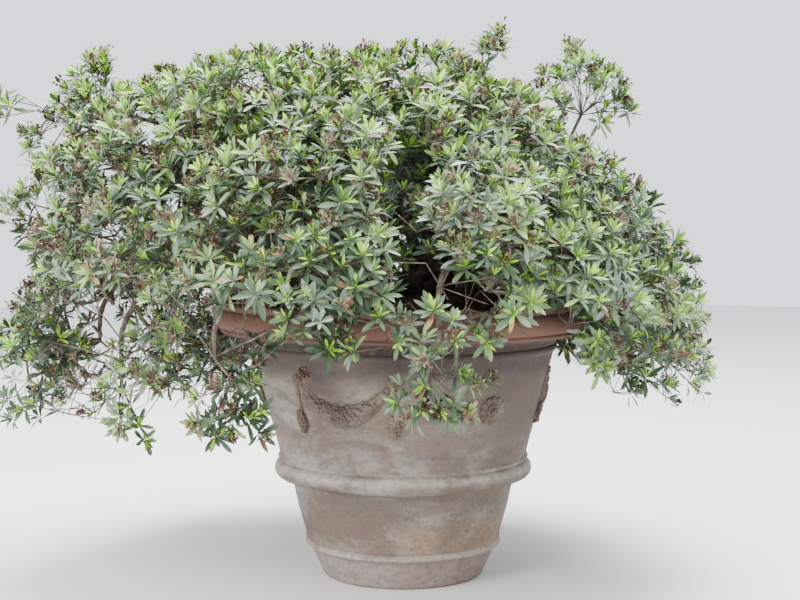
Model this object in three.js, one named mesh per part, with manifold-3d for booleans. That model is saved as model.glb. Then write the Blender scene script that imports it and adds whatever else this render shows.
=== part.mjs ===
// A spreading azalea in a large terracotta pot, as a three.js scene of separate solids.
// Sizes are in millimetres. +Z is up, the front faces -Y with +X to the right, and the origin is the centre
// of the pot's flat underside. Azimuths are in degrees, from the front (-Y) round towards +X.
// Each limb carries one mass of foliage at its tip, and a mass keeps to the space that is nearer to its own
// centre than to any other mass's centre, so no two masses meet.

import * as THREE from 'three';
import { mergeVertices } from 'three/addons/utils/BufferGeometryUtils.js';
import Module from 'manifold-3d';

const wasm = await Module();
wasm.setup();

// Driving dimensions of the pot: the foot, the ridge over it, the roll round the waist, the bead and the rim
const pot = { height: 580, sides: 40, base: 44, foot: 170, footTop: 196, footHeight: 62 };
const ridge = { radius: 207, height: 72, inset: 2, fade: 13 };
const waist = { below: 236, belowHeight: 205, above: 264, aboveHeight: 256 };
const roll = { centre: 255, height: 228, radius: 18 };
const wall = { bottom: 262, bottomHeight: 261, middle: 292, middleHeight: 374, top: 318, topHeight: 476 };
const bead = { centre: 318, height: 486, radius: 8 };
const cove = { radius: 324, height: 495, out: 50, rise: 20 };
const rim = { fillet: 385, filletHeight: 522, centre: 379, height: 547, radius: 21 };
const lip = { radius: 387, height: 569, inner: 350, edging: 6 };
const hollow = { shoulder: 318, shoulderHeight: 520, waist: 228, waistHeight: 250, floor: 160 };
const drain = { count: 3, radius: 16, ring: 96, sides: 10 };
const soil = { level: 545, edge: 537, flat: 130, seat: 0.4, inset: 1.6, sides: 24 };

// Driving dimensions of the relief: garlands hung from knots with tassels, and rosettes between them
const relief = { repeats: 3, first: -23.5, halfSpan: 20, knot: 438, gap: 0.35, proud: 3 };
const garland = { sag: 77, span: 0.87, thick: 20, thin: 6, steps: 7, sides: 5 };
const fruit = { count: 4, first: 0.2, last: 0.8, size: 0.62, out: 0.5, aside: 0.4 };
const tassel = { length: 108, knot: 9 };
const ribbon = { top: 5, bottom: 8, end: 0.72, sides: 4 };
const bunch = { start: 0.66, top: 10, bottom: 15, sides: 6 };
const rosette = { height: 376, radius: 25, notch: 18, petals: 8, rise: 15, button: 9, sunk: 4 };

// Driving dimensions of the plant. The crown's reach is from the trunk's middle to its outermost leaf tips.
const trunk = { x: 30, y: 8, height: 104, lean: 10, foot: 74, waist: 46, top: 41, flare: 0.42 };
const trunkMesh = { sides: 10, steps: 6 };
const stub = { azimuth: 28, radius: 14, tip: 12, start: 0.6, out: 88, rise: 46, sides: 6 };
const crown = { left: 838, right: 602, front: 642, back: 682, top: 1120, middle: 600, roundness: 1.4 };
const squareness = { left: 3, right: 1.3, deep: 2.1 };
// The crown's reach swells and sinks in low waves, as turns all round and radians up each millimetre of height.
const waves = [{ size: 0.03, turns: 5, rise: 0.017 }, { size: 0.03, turns: 8, rise: -0.023 }];
const skirt = { inner: 606, left: 372, right: 440, front: 572, back: 445, from: 0.42, to: 0.68 };
// Tails hang below the skirt: the azimuth of each, half its width in degrees and how far it hangs down.
const tails = [
  { azimuth: 3, spread: 10, drop: 190 },
  { azimuth: -38, spread: 11, drop: 132 },
  { azimuth: -58, spread: 9, drop: 85 },
  { azimuth: -75, spread: 9, drop: 60 },
  { azimuth: -97, spread: 14, drop: 48 },
  { azimuth: -133, spread: 14, drop: 90 },
  { azimuth: 158, spread: 14, drop: 100 },
  { azimuth: 84, spread: 14, drop: 70 },
];
// Long shoots stand out past the crown's outline, each from the mass that it names.
const shoots = [
  { mass: 'foliage_upper_4', azimuth: -90, radius: 775, height: 985 },
  { mass: 'foliage_spreading_7', azimuth: -84, radius: 795, height: 800 },
  { mass: 'foliage_upper_2', azimuth: 110, radius: 430, height: 1010 },
];
const clearance = { seat: 0.3, cut: 0.36, space: 1.2, limb: 3.5, pot: 10, relief: 30 };
const limb = { end: 0.74, lead: 0.5, taper: 0.8, sides: 5, steps: 5, points: 8 };
const twig = { sides: 3, root: 6, tip: 3.2, stem: 30, stemSides: 5, fork: 0.5, thinner: 0.85, lift: 0.6 };
const bud = { rise: 9, drop: 10, radius: 13 };
const leaf = { length: 140, least: 0.86, most: 1.06, width: 60, widest: 0.58, droop: 0.05, perTip: 7, sector: 0.95 };
const whorlRoom = 76;
// A leaf's poses, first choice first: its angle from the whorl's axis in radians and its share of full length
const leafPoses = [[1.36, 1], [1.05, 1], [0.8, 1], [0.55, 1], [1.2, 0.72], [0.7, 0.72]];
const seeds = { first: 138, step: 37 };
const march = { step: 12, most: 460, edge: 0.56, tries: 6, ahead: 0.97, back: -0.55, spacing: 1.6 };

// Each tier of boughs stands round the trunk. share is how far out along the crown's reach the centre of its
// mass lies, and up is how far that centre lies from the crown's underside to its top. from and collar are
// where a bough starts: a share of the trunk's height and a distance from its middle.
const tiers = [
  {
    name: 'leader', count: 1, first: -90, step: 0, share: 0.12, up: 0.7,
    from: 0.94, collar: 0, base: 13, tip: 6, tips: 5,
  },
  {
    name: 'upper', count: 5, first: 30, step: 72, share: 0.47, up: 0.66,
    from: 0.9, collar: 26, base: 12, tip: 6, tips: 5,
  },
  {
    name: 'spreading', count: 8, first: 22, step: 45, share: 0.75, up: 0.5,
    from: 0.52, collar: 34, base: 15, tip: 7, tips: 4,
  },
];
// Each hanging branch leaves a spreading bough part of the way along it and droops past the rim.
const hanging = { along: 0.6, rise: 30, droop: 0.65, base: 9, tip: 5, tips: 4 };
const hangingBranches = [
  { bough: 7, azimuth: -40, share: 0.78, height: 455 },
  { bough: 6, azimuth: -66, share: 0.78, height: 430 },
  { bough: 5, azimuth: -94, share: 0.82, height: 445 },
  { bough: 4, azimuth: -131, share: 0.8, height: 480 },
  { bough: 3, azimuth: 158, share: 0.8, height: 500 },
  { bough: 1, azimuth: 84, share: 0.8, height: 510 },
  { bough: 0, azimuth: 4, share: 0.76, height: 500 },
];

const finishes = {
  terracotta: { color: 0xb08d78, roughness: 0.86, metalness: 0 },
  relief: { color: 0x9c7a64, roughness: 0.9, metalness: 0 },
  soil: { color: 0x3a2c22, roughness: 1, metalness: 0 },
  bark: { color: 0x5b4a3f, roughness: 0.92, metalness: 0 },
  leaves: { color: 0x5d7c4a, roughness: 0.55, metalness: 0 },
};

const azalea = new THREE.Group();
azalea.name = 'potted_azalea';

// Small tools: seeded numbers, places round the axis, and joining and cutting of closed three.js geometries

function seeded(seed) {
  let state = seed;
  return () => {
    state = (state * 16807) % 2147483647;
    return (state - 1) / 2147483646;
  };
}

function point(x, y, z) {
  return new THREE.Vector3(x, y, z);
}

const up = point(0, 0, 1);
const aslant = point(0.1, 0.02, 1);
const goldenAngle = Math.PI * (3 - Math.sqrt(5));

function radians(degrees) {
  return (degrees * Math.PI) / 180;
}

function mix(from, to, share) {
  return from + (to - from) * share;
}

function around(azimuth, radius, height) {
  const angle = radians(azimuth);
  return point(radius * Math.sin(angle), -radius * Math.cos(angle), height);
}

function towards(place, direction, distance) {
  return place.clone().addScaledVector(direction, distance);
}

function solidFrom(geometry) {
  const bare = new THREE.BufferGeometry();
  bare.setAttribute('position', geometry.getAttribute('position'));
  if (geometry.index) bare.setIndex(geometry.index);
  const merged = mergeVertices(bare, 1e-3);
  const vertProperties = new Float32Array(merged.getAttribute('position').array);
  const triVerts = new Uint32Array(merged.index.array);
  return new wasm.Manifold(new wasm.Mesh({ numProp: 3, vertProperties, triVerts }));
}

function geometryFrom(solid) {
  const mesh = solid.getMesh();
  const geometry = new THREE.BufferGeometry();
  geometry.setAttribute('position', new THREE.BufferAttribute(new Float32Array(mesh.vertProperties), 3));
  geometry.setIndex(new THREE.BufferAttribute(new Uint32Array(mesh.triVerts), 1));
  geometry.computeVertexNormals();
  return geometry;
}

function joined(solids) {
  return solids.slice(1).reduce((whole, piece) => whole.add(piece), solids[0]);
}

function largest(solid) {
  return solid.decompose().sort((a, b) => b.volume() - a.volume())[0];
}

function boxesMeet(a, b) {
  return [0, 1, 2].every((k) => a.min[k] < b.max[k] && b.min[k] < a.max[k]);
}

function cutBy(solid, guards) {
  const box = solid.boundingBox();
  const near = guards.filter((guard) => boxesMeet(box, guard.boundingBox()));
  return largest(near.reduce((rest, guard) => rest.subtract(guard), solid));
}

function addNode(name, geometry, finish) {
  const mesh = new THREE.Mesh(geometry, new THREE.MeshStandardMaterial(finishes[finish]));
  mesh.name = name;
  azalea.add(mesh);
}

// Shapes: a turned profile, a limb bent along a curve, a straight stick, and a bump

function turned(outline, sides) {
  const profile = outline.map(([radius, height]) => new THREE.Vector2(radius, height));
  return new THREE.LatheGeometry(profile, sides).rotateX(Math.PI / 2);
}

function bent(curve, sides, steps, radiusAt) {
  const limb = new THREE.CylinderGeometry(1, 1, 1, sides, steps);
  const { normals, binormals } = curve.computeFrenetFrames(steps, false);
  const centres = curve.getSpacedPoints(steps);
  const corners = limb.getAttribute('position');
  for (let i = 0; i < corners.count; i += 1) {
    const row = Math.round((corners.getY(i) + 0.5) * steps);
    const radius = radiusAt(row / steps);
    const corner = towards(centres[row], normals[row], corners.getX(i) * radius);
    corner.addScaledVector(binormals[row], -corners.getZ(i) * radius);
    corners.setXYZ(i, corner.x, corner.y, corner.z);
  }
  return solidFrom(limb);
}

function stick(from, to, radiusFrom, radiusTo, sides) {
  const along = to.clone().sub(from);
  const shaft = new THREE.CylinderGeometry(radiusTo, radiusFrom, along.length(), sides);
  const middle = from.clone().lerp(to, 0.5);
  shaft.applyQuaternion(new THREE.Quaternion().setFromUnitVectors(point(0, 1, 0), along.normalize()));
  return solidFrom(shaft.translate(middle.x, middle.y, middle.z));
}

function bump(centre, radius) {
  return solidFrom(new THREE.IcosahedronGeometry(radius).translate(centre.x, centre.y, centre.z));
}

// The pot, turned from one closed outline as [radius, height], and the soil in it

function arc({ centre, height, radius }, from, to, steps) {
  return Array.from({ length: steps + 1 }, (_, i) => {
    const angle = radians(mix(from, to, i / steps));
    return [centre + radius * Math.cos(angle), height + radius * Math.sin(angle)];
  });
}

function coveCurve(steps) {
  return Array.from({ length: steps }, (_, i) => {
    const angle = (Math.PI / 2) * ((i + 1) / steps);
    return [cove.radius + cove.out * (1 - Math.cos(angle)), cove.height + cove.rise * Math.sin(angle)];
  });
}

const wallFace = [
  [wall.bottom, wall.bottomHeight], [wall.middle, wall.middleHeight], [wall.top, wall.topHeight],
];
const potOutside = [
  [pot.foot, 0], [pot.footTop, pot.footHeight],
  [ridge.radius, ridge.height], [ridge.radius - ridge.inset, ridge.height + ridge.fade],
  [waist.below, waist.belowHeight], ...arc(roll, -80, 76, 4), [waist.above, waist.aboveHeight],
  ...wallFace, ...arc(bead, -50, 50, 1), ...coveCurve(2), [rim.fillet, rim.filletHeight],
  ...arc(rim, -72, 68, 4), [lip.radius, lip.height], [lip.radius - lip.edging, pot.height],
];
const potInside = [
  [lip.inner + lip.edging, pot.height], [lip.inner, pot.height - lip.edging],
  [hollow.shoulder, hollow.shoulderHeight], [hollow.waist, hollow.waistHeight], [hollow.floor, pot.base],
];

function radiusOf(outline, height) {
  for (let i = 1; i < outline.length; i += 1) {
    const [r0, z0] = outline[i - 1];
    const [r1, z1] = outline[i];
    if (z0 !== z1 && Math.min(z0, z1) <= height && height <= Math.max(z0, z1)) {
      return mix(r0, r1, (height - z0) / (z1 - z0));
    }
  }
  return outline[0][0];
}

function buildPot() {
  let body = solidFrom(turned([[0, 0], ...potOutside, ...potInside, [0, pot.base]], pot.sides));
  for (let i = 0; i < drain.count; i += 1) {
    const below = around((360 * i) / drain.count, drain.ring, -pot.base);
    const hole = stick(below, towards(below, up, 3 * pot.base), drain.radius, drain.radius, drain.sides);
    body = body.subtract(hole);
  }
  addNode('pot', geometryFrom(body), 'terracotta');
}

function buildSoil() {
  const floor = pot.base + soil.seat;
  const inside = [
    [hollow.floor, floor], [hollow.waist, hollow.waistHeight], [hollow.shoulder, hollow.shoulderHeight],
    [radiusOf(potInside, soil.edge), soil.edge],
  ];
  const body = inside.map(([radius, height]) => [radius - soil.inset, height]);
  addNode('soil', turned([[0, floor], ...body, [soil.flat, soil.level], [0, soil.level]], soil.sides), 'soil');
}

// Relief: each piece is shaped in the wall and cut back to lie just clear of it

function onWall(azimuth, height, lift) {
  return around(azimuth, radiusOf(potOutside, height) + lift, height);
}

function wallGuard() {
  const grown = wallFace.map(([radius, height]) => [radius + relief.gap, height]);
  return solidFrom(turned([[0, wall.bottomHeight], ...grown, [0, wall.topHeight]], pot.sides));
}

function buildGarland(name, centre, guard) {
  const swell = (share) => mix(garland.thin, garland.thick, Math.sin(Math.PI * share));
  const at = (share, lift) => {
    const side = 2 * share - 1;
    const height = relief.knot - garland.sag * (1 - side * side);
    return onWall(centre + relief.halfSpan * garland.span * side, height, lift);
  };
  const path = Array.from({ length: garland.steps + 1 }, (_, step) => at(step / garland.steps, 0));
  const pieces = [bent(new THREE.CatmullRomCurve3(path), garland.sides, garland.steps, swell)];
  for (let i = 0; i < fruit.count; i += 1) {
    const share = mix(fruit.first, fruit.last, i / (fruit.count - 1));
    const size = swell(share);
    const place = towards(at(share, size * fruit.out), up, (i % 2 ? 1 : -1) * fruit.aside * size);
    pieces.push(bump(place, size * fruit.size));
  }
  addNode(name, geometryFrom(cutBy(joined(pieces), [guard])), 'relief');
}

function buildTassel(name, azimuth, guard) {
  const at = (share, lift) => onWall(azimuth, relief.knot - tassel.length * share, lift);
  const pieces = [
    bump(at(0, relief.proud), tassel.knot),
    stick(at(0, 1), at(ribbon.end, 1), ribbon.top, ribbon.bottom, ribbon.sides),
    stick(at(bunch.start, 0), at(1, 0), bunch.top, bunch.bottom, bunch.sides),
  ];
  addNode(name, geometryFrom(cutBy(joined(pieces), [guard])), 'relief');
}

function buildRosette(name, azimuth, guard) {
  const centre = onWall(azimuth, rosette.height, 0);
  const outward = around(azimuth, 1, 0);
  const sideways = new THREE.Vector3().crossVectors(up, outward);
  const corners = [towards(centre, outward, rosette.rise), towards(centre, outward, -rosette.sunk)];
  const index = [];
  const count = 2 * rosette.petals;
  for (let i = 0; i < count; i += 1) {
    const angle = (2 * Math.PI * i) / count;
    const radius = i % 2 ? rosette.notch : rosette.radius;
    const corner = towards(towards(centre, outward, relief.proud), sideways, radius * Math.cos(angle));
    corners.push(towards(corner, up, radius * Math.sin(angle)));
    const here = 2 + i;
    const next = 2 + ((i + 1) % count);
    index.push(0, here, next, 1, next, here);
  }
  const petals = solidFrom(new THREE.BufferGeometry().setFromPoints(corners).setIndex(index));
  const button = bump(towards(centre, outward, rosette.rise - relief.proud * 2), rosette.button);
  addNode(name, geometryFrom(cutBy(petals.add(button), [guard])), 'relief');
}

function buildRelief() {
  const guard = wallGuard();
  for (let repeat = 0; repeat < relief.repeats; repeat += 1) {
    const centre = relief.first + (360 * repeat) / relief.repeats;
    buildGarland(`garland_${repeat + 1}`, centre, guard);
    buildTassel(`tassel_${2 * repeat + 1}`, centre - relief.halfSpan, guard);
    buildTassel(`tassel_${2 * repeat + 2}`, centre + relief.halfSpan, guard);
    buildRosette(`rosette_${repeat + 1}`, centre + 180 / relief.repeats, guard);
  }
}

// The crown's outline: how far it reaches at an azimuth, and its underside and top at a share of that reach

function allRound(azimuth, { left, right, front, back }) {
  const angle = radians(azimuth);
  const side = Math.sin(angle) > 0 ? right : left;
  const deep = Math.cos(angle) > 0 ? front : back;
  return mix(deep, side, Math.abs(Math.sin(angle)) ** crown.roundness);
}

function smooth(from, to, value) {
  const share = Math.min(1, Math.max(0, (value - from) / (to - from)));
  return share * share * (3 - 2 * share);
}

function crownTop(azimuth, share) {
  const { left, right, deep } = squareness;
  const square = allRound(azimuth, { left, right, front: deep, back: deep });
  return crown.middle + (crown.top - crown.middle) * Math.max(0, 1 - share ** square) ** (1 / square);
}

function tailDepth(azimuth) {
  return tails.reduce((depth, tail) => {
    const away = (((azimuth - tail.azimuth) % 360) + 540) % 360 - 180;
    return depth + tail.drop * Math.max(0, 1 - (away / tail.spread) ** 2) ** 2;
  }, 0);
}

function crownUnderside(azimuth, share) {
  const lowest = allRound(azimuth, skirt) - tailDepth(azimuth);
  return mix(skirt.inner, lowest, smooth(skirt.from, skirt.to, share));
}

function waviness(azimuth, height) {
  return waves.reduce((sum, { size, turns, rise }) => (
    sum + size * Math.sin(turns * radians(azimuth) + rise * height)
  ), 1);
}

function inCrown(place) {
  const dx = place.x - trunk.x;
  const dy = place.y - trunk.y;
  const azimuth = (Math.atan2(dx, -dy) * 180) / Math.PI;
  const share = Math.hypot(dx, dy) / (allRound(azimuth, crown) * waviness(azimuth, place.z));
  return share < 1 && place.z < crownTop(azimuth, share) && place.z > crownUnderside(azimuth, share);
}

function crownPoint(azimuth, share, height) {
  return around(azimuth, allRound(azimuth, crown) * share, height).add(point(trunk.x, trunk.y, 0));
}

// Layout: every limb as a curve with its radii, and the mass of foliage at its tip

function boughsOf(tier) {
  return Array.from({ length: tier.count }, (_, i) => {
    const azimuth = tier.first + tier.step * i;
    const height = mix(crownUnderside(azimuth, tier.share), crownTop(azimuth, tier.share), tier.up);
    const centre = crownPoint(azimuth, tier.share, height);
    const start = around(azimuth, tier.collar, soil.level + trunk.height * tier.from);
    start.add(point(trunk.x + trunk.lean * tier.from, trunk.y, 0));
    const end = start.clone().lerp(centre, limb.end);
    const lead = start.clone().lerp(end, limb.lead);
    lead.z = mix(lead.z, end.z, 0.5);
    const curve = new THREE.QuadraticBezierCurve3(start, lead, end);
    const place = `${tier.name}_${i + 1}`;
    return { ...tier, name: `bough_${place}`, massName: `foliage_${place}`, curve, centre };
  });
}

function branchesOf(spreading) {
  return hangingBranches.map(({ bough, azimuth, share, height }, i) => {
    const start = spreading[bough].curve.getPointAt(hanging.along);
    const centre = crownPoint(azimuth, share, height);
    const end = centre.clone().setZ(mix(start.z, centre.z, hanging.droop));
    const lead = end.clone().setZ(start.z + hanging.rise);
    const curve = new THREE.QuadraticBezierCurve3(start, lead, end);
    return { ...hanging, name: `branch_hanging_${i + 1}`, massName: `foliage_hanging_${i + 1}`, curve, centre };
  });
}

function layOut() {
  const [leader, upper, spreading] = tiers.map(boughsOf);
  const all = [...leader, ...upper, ...spreading, ...branchesOf(spreading)];
  return all.map(({ massName, centre, tips, ...own }, i) => ({
    ...own,
    line: own.curve.getSpacedPoints(limb.points),
    mass: { name: massName, centre, tips, seed: seeds.first + seeds.step * i },
  }));
}

// Trunk and limbs. Each limb is cut back from the trunk and from the limbs made before it.

function trunkShape(grow) {
  const shape = new THREE.CylinderGeometry(1, 1, 1, trunkMesh.sides, trunkMesh.steps).rotateX(Math.PI / 2);
  const corners = shape.getAttribute('position');
  for (let i = 0; i < corners.count; i += 1) {
    const share = corners.getZ(i) + 0.5;
    const flare = Math.max(0, 1 - share / trunk.flare) ** 2;
    const radius = mix(trunk.waist, trunk.top, share) + (trunk.foot - trunk.waist) * flare + grow;
    const x = trunk.x + trunk.lean * share + radius * corners.getX(i);
    const y = trunk.y + radius * corners.getY(i);
    corners.setXYZ(i, x, y, soil.level + clearance.seat + (trunk.height + grow) * share);
  }
  const start = point(trunk.x, trunk.y, soil.level + trunk.height * stub.start);
  const end = start.clone().add(around(stub.azimuth, stub.out, stub.rise));
  return solidFrom(shape).add(stick(start, end, stub.radius + grow, stub.tip + grow, stub.sides));
}

function limbShape({ curve, base, tip }, grow) {
  const radiusAt = (share) => mix(base, tip, share ** limb.taper) + grow;
  return bent(curve, limb.sides, limb.steps, radiusAt);
}

function buildLimbs(limbs) {
  addNode('trunk', geometryFrom(trunkShape(0)), 'bark');
  const guards = [trunkShape(clearance.cut)];
  limbs.forEach((each) => {
    addNode(each.name, geometryFrom(cutBy(limbShape(each, 0), guards)), 'bark');
    guards.push(limbShape(each, clearance.cut));
  });
  return guards;
}

// Foliage: where leaves and twigs may be

function inOwnSpace(place, mass, masses, margin) {
  return masses.every((other) => {
    if (other === mass) return true;
    const between = other.centre.clone().sub(mass.centre);
    const half = between.length() / 2;
    return place.clone().sub(mass.centre).dot(between.normalize()) < half - margin;
  });
}

function clearOfLimbs(place, limbs, margin) {
  const nearest = point(0, 0, 0);
  return limbs.every(({ line, base }) => line.slice(1).every((end, i) => {
    new THREE.Line3(line[i], end).closestPointToPoint(place, true, nearest);
    return nearest.distanceTo(place) > base + margin;
  }));
}

function clearOfPot(place, margin) {
  if (place.z > pot.height + margin) return true;
  const outside = place.z > rim.height ? rim.centre + rim.radius : radiusOf(potOutside, place.z);
  const proud = place.z < wall.topHeight ? clearance.relief : 0;
  return Math.hypot(place.x, place.y) > outside + proud + margin;
}

// Foliage: a stem from the limb's tip, twigs that fork off earlier twigs, and a whorl of leaves at each tip

function buildMass(bearer, limbs, guards) {
  const { mass } = bearer;
  const masses = limbs.map((other) => other.mass);
  const others = limbs.filter((other) => other !== bearer);
  const free = (place, near, margin) => inOwnSpace(place, mass, masses, clearance.space + margin)
    && clearOfLimbs(place, near, clearance.limb + margin) && clearOfPot(place, clearance.pot + margin);
  const foot = point(trunk.x, trunk.y, soil.level);
  const along = bearer.curve.getTangent(1);
  const root = towards(bearer.curve.getPoint(1), along, clearance.seat);
  const heart = towards(root, along, twig.stem);
  const pieces = [stick(root, heart, bearer.tip, twig.root, twig.stemSides)];
  const forks = [{ place: towards(heart, along, -twig.root), size: twig.root }];
  const random = seeded(mass.seed);
  const roomy = (place) => inOwnSpace(place, mass, masses, whorlRoom) && free(place, limbs, bud.radius);
  const tips = [...spreadOut(placesFor(mass, foot, roomy), mass.tips, foot), ...shootsOf(mass)];
  tips.sort((a, b) => a.place.distanceTo(heart) - b.place.distanceTo(heart));
  tips.forEach(({ place, direction, shoot }) => {
    const gap = (other) => other.place.distanceTo(place);
    const fork = forks.reduce((best, other) => (gap(other) < gap(best) ? other : best));
    const joint = fork.place.clone().lerp(place, twig.fork);
    if (![joint, joint.clone().lerp(place, 0.5)].every((step) => free(step, others, twig.root))) return;
    const size = fork.size * twig.thinner;
    pieces.push(stick(fork.place, place, size, twig.tip, twig.sides));
    forks.push({ place: joint, size: mix(size, twig.tip, twig.fork) });
    const axis = place.clone().sub(foot).normalize().add(direction).addScaledVector(up, twig.lift).normalize();
    pieces.push(whorl(place, axis, random, (corner) => (shoot || inCrown(corner)) && free(corner, limbs, 1)));
  });
  addNode(mass.name, geometryFrom(cutBy(joined(pieces), guards)), 'leaves');
}

// Places for tips lie on a spiral round the mass's centre, each as far out as the crown's outline and the
// mass's own space let it.
function placesFor(mass, foot, roomy) {
  const outward = mass.centre.clone().sub(foot).normalize();
  const side = new THREE.Vector3().crossVectors(outward, aslant).normalize();
  const third = new THREE.Vector3().crossVectors(outward, side);
  const count = mass.tips * march.tries;
  const places = [];
  for (let i = 0; i < count; i += 1) {
    const ahead = mix(march.ahead, march.back, i / (count - 1));
    const round = Math.sqrt(1 - ahead * ahead);
    const turn = goldenAngle * i + mass.seed;
    const direction = outward.clone().multiplyScalar(ahead);
    direction.addScaledVector(side, round * Math.cos(turn)).addScaledVector(third, round * Math.sin(turn));
    for (let far = march.step; far < march.most; far += march.step) {
      const place = towards(mass.centre, direction, far);
      if (!inCrown(towards(place, direction, leaf.length * march.edge)) || !roomy(place)) break;
      places[i] = { place, direction };
    }
  }
  return places.filter(Boolean);
}

function shootsOf(mass) {
  return shoots.filter((shoot) => shoot.mass === mass.name).map(({ azimuth, radius, height }) => {
    const place = around(azimuth, radius, height);
    return { place, direction: place.clone().sub(mass.centre).normalize(), shoot: true };
  });
}

// The tips are the places that lie furthest apart, from the outermost one on.
function spreadOut(places, most, foot) {
  const tips = [];
  let left = places;
  const apart = ({ place }) => {
    const near = tips.map((tip) => march.spacing * tip.place.distanceTo(place));
    return Math.min(place.distanceTo(foot), ...near);
  };
  while (tips.length < most && left.length) {
    const next = left.reduce((best, other) => (apart(other) > apart(best) ? other : best));
    tips.push(next);
    left = left.filter((other) => other !== next);
  }
  return tips;
}

// A whorl of leaves round a bud. Each leaf has eight faces: four on top that meet at the bud's apex, three
// below and one on the bud. It takes the first pose in which all of it is free, and is left out if none is.
function whorl(place, axis, random, isFree) {
  const side = new THREE.Vector3().crossVectors(axis, aslant).normalize();
  const third = new THREE.Vector3().crossVectors(axis, side);
  const spoke = (turn) => side.clone().multiplyScalar(Math.cos(turn)).addScaledVector(third, Math.sin(turn));
  const first = 2 * Math.PI * random();
  const step = (2 * Math.PI) / leaf.perTip;
  const corners = [towards(place, axis, bud.rise), towards(place, axis, -bud.drop)];
  for (let i = 0; i < leaf.perTip; i += 1) {
    corners.push(towards(place, spoke(first + step * (i - 0.5)), bud.radius));
  }
  const index = [];
  for (let i = 0; i < leaf.perTip; i += 1) {
    const here = 2 + i;
    const next = 2 + ((i + 1) % leaf.perTip);
    const full = leaf.length * mix(leaf.least, leaf.most, random());
    const poses = leafPoses.slice(i % 2);
    const blade = poses.map((pose) => bladeAt(place, axis, spoke, first + step * i, full, pose))
      .find(({ tested }) => tested.every(isFree));
    index.push(1, next, here);
    if (blade) {
      const [near, tip, far] = [0, 1, 2].map((k) => corners.length + k);
      corners.push(...blade.outline);
      index.push(0, here, near, 0, near, tip, 0, tip, far, 0, far, next);
      index.push(near, here, tip, tip, here, next, far, tip, next);
    } else {
      index.push(0, here, next);
    }
  }
  return solidFrom(new THREE.BufferGeometry().setFromPoints(corners).setIndex(index));
}

// A leaf keeps to its own sector of the whorl, so one that stands steeply is narrower.
function bladeAt(place, axis, spoke, turn, full, [pitch, share]) {
  const heading = spoke(turn).multiplyScalar(Math.sin(pitch)).addScaledVector(axis, Math.cos(pitch));
  const across = spoke(turn + Math.PI / 2);
  const reach = full * share * leaf.widest;
  const sector = reach * Math.sin(pitch) * Math.tan(Math.PI / leaf.perTip);
  const half = Math.min(leaf.width / 2, leaf.sector * sector);
  const belly = towards(place, heading, reach);
  const tip = towards(towards(place, heading, full * share), up, -leaf.droop * full);
  const outline = [towards(belly, across, -half), tip, towards(belly, across, half)];
  const middle = [belly, belly.clone().lerp(tip, 0.5), belly.clone().lerp(place, 0.45)];
  return { outline, tested: [...outline, ...middle] };
}

buildPot();
buildSoil();
buildRelief();
const limbs = layOut();
const guards = buildLimbs(limbs);
limbs.forEach((bearer) => buildMass(bearer, limbs, guards));

export default azalea;
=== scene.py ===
import math
import bpy
import numpy as np
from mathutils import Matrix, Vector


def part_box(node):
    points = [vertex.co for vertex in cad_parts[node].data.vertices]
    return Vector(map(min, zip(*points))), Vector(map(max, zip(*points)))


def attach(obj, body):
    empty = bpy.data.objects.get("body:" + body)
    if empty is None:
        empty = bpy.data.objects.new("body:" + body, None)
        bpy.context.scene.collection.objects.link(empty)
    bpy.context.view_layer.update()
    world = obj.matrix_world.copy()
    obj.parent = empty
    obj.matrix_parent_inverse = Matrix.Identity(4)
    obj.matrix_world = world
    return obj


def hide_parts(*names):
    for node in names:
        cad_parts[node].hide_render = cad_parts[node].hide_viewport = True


# A spreading azalea just after flowering, in a large terracotta pot with garlands in relief.
# Lengths are in metres. The front faces -Y, and azimuths run in degrees from the front round towards +X.

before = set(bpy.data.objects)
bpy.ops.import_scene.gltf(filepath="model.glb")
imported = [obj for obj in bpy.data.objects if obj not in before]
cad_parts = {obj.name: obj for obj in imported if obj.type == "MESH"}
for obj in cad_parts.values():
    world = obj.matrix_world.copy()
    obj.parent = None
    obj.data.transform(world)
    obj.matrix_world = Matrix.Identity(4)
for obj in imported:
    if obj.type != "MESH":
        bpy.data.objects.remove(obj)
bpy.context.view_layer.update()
scene = bpy.context.scene
fullTurn = 2 * math.pi
goldenAngle = math.pi * (3 - math.sqrt(5))
up = np.array([0.0, 0.0, 1.0])
# An axis that nothing here lies along, to take cross products with
aslant = np.array([0.1, 0.02, 1.0])


# Small tools

def mix(first, second, share):
    return first + (second - first) * share


def unit(vectors):
    return vectors / np.maximum(np.linalg.norm(vectors, axis=-1, keepdims=True), 1e-12)


def ramp(value, low, high):
    return np.clip((value - low) / (high - low), 0, 1)


def around(azimuth, radius, height):
    angle = math.radians(azimuth)
    return np.array([radius * math.sin(angle), -radius * math.cos(angle), height])


def radiusAt(outline, level):
    # outline is a list of radius and level
    return np.interp(level, [z for r, z in outline], [r for r, z in outline])


def deselectAll():
    if bpy.context.object and bpy.context.object.mode != "OBJECT":
        bpy.ops.object.mode_set(mode="OBJECT")
    bpy.ops.object.select_all(action="DESELECT")


def takeUp(piece):
    deselectAll()
    piece.select_set(True)
    bpy.context.view_layer.objects.active = piece


def added(operator, **settings):
    # what an operator adds, with nothing else selected
    deselectAll()
    operator(**settings)
    return bpy.context.object


def settle(piece):
    takeUp(piece)
    bpy.ops.object.transform_apply(location=True, rotation=True, scale=True)


def startEdit(piece):
    takeUp(piece)
    bpy.ops.object.mode_set(mode="EDIT")
    bpy.ops.mesh.select_all(action="SELECT")


def endEdit():
    bpy.ops.mesh.select_all(action="SELECT")
    bpy.ops.mesh.normals_make_consistent(inside=False)
    bpy.ops.object.mode_set(mode="OBJECT")


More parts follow.
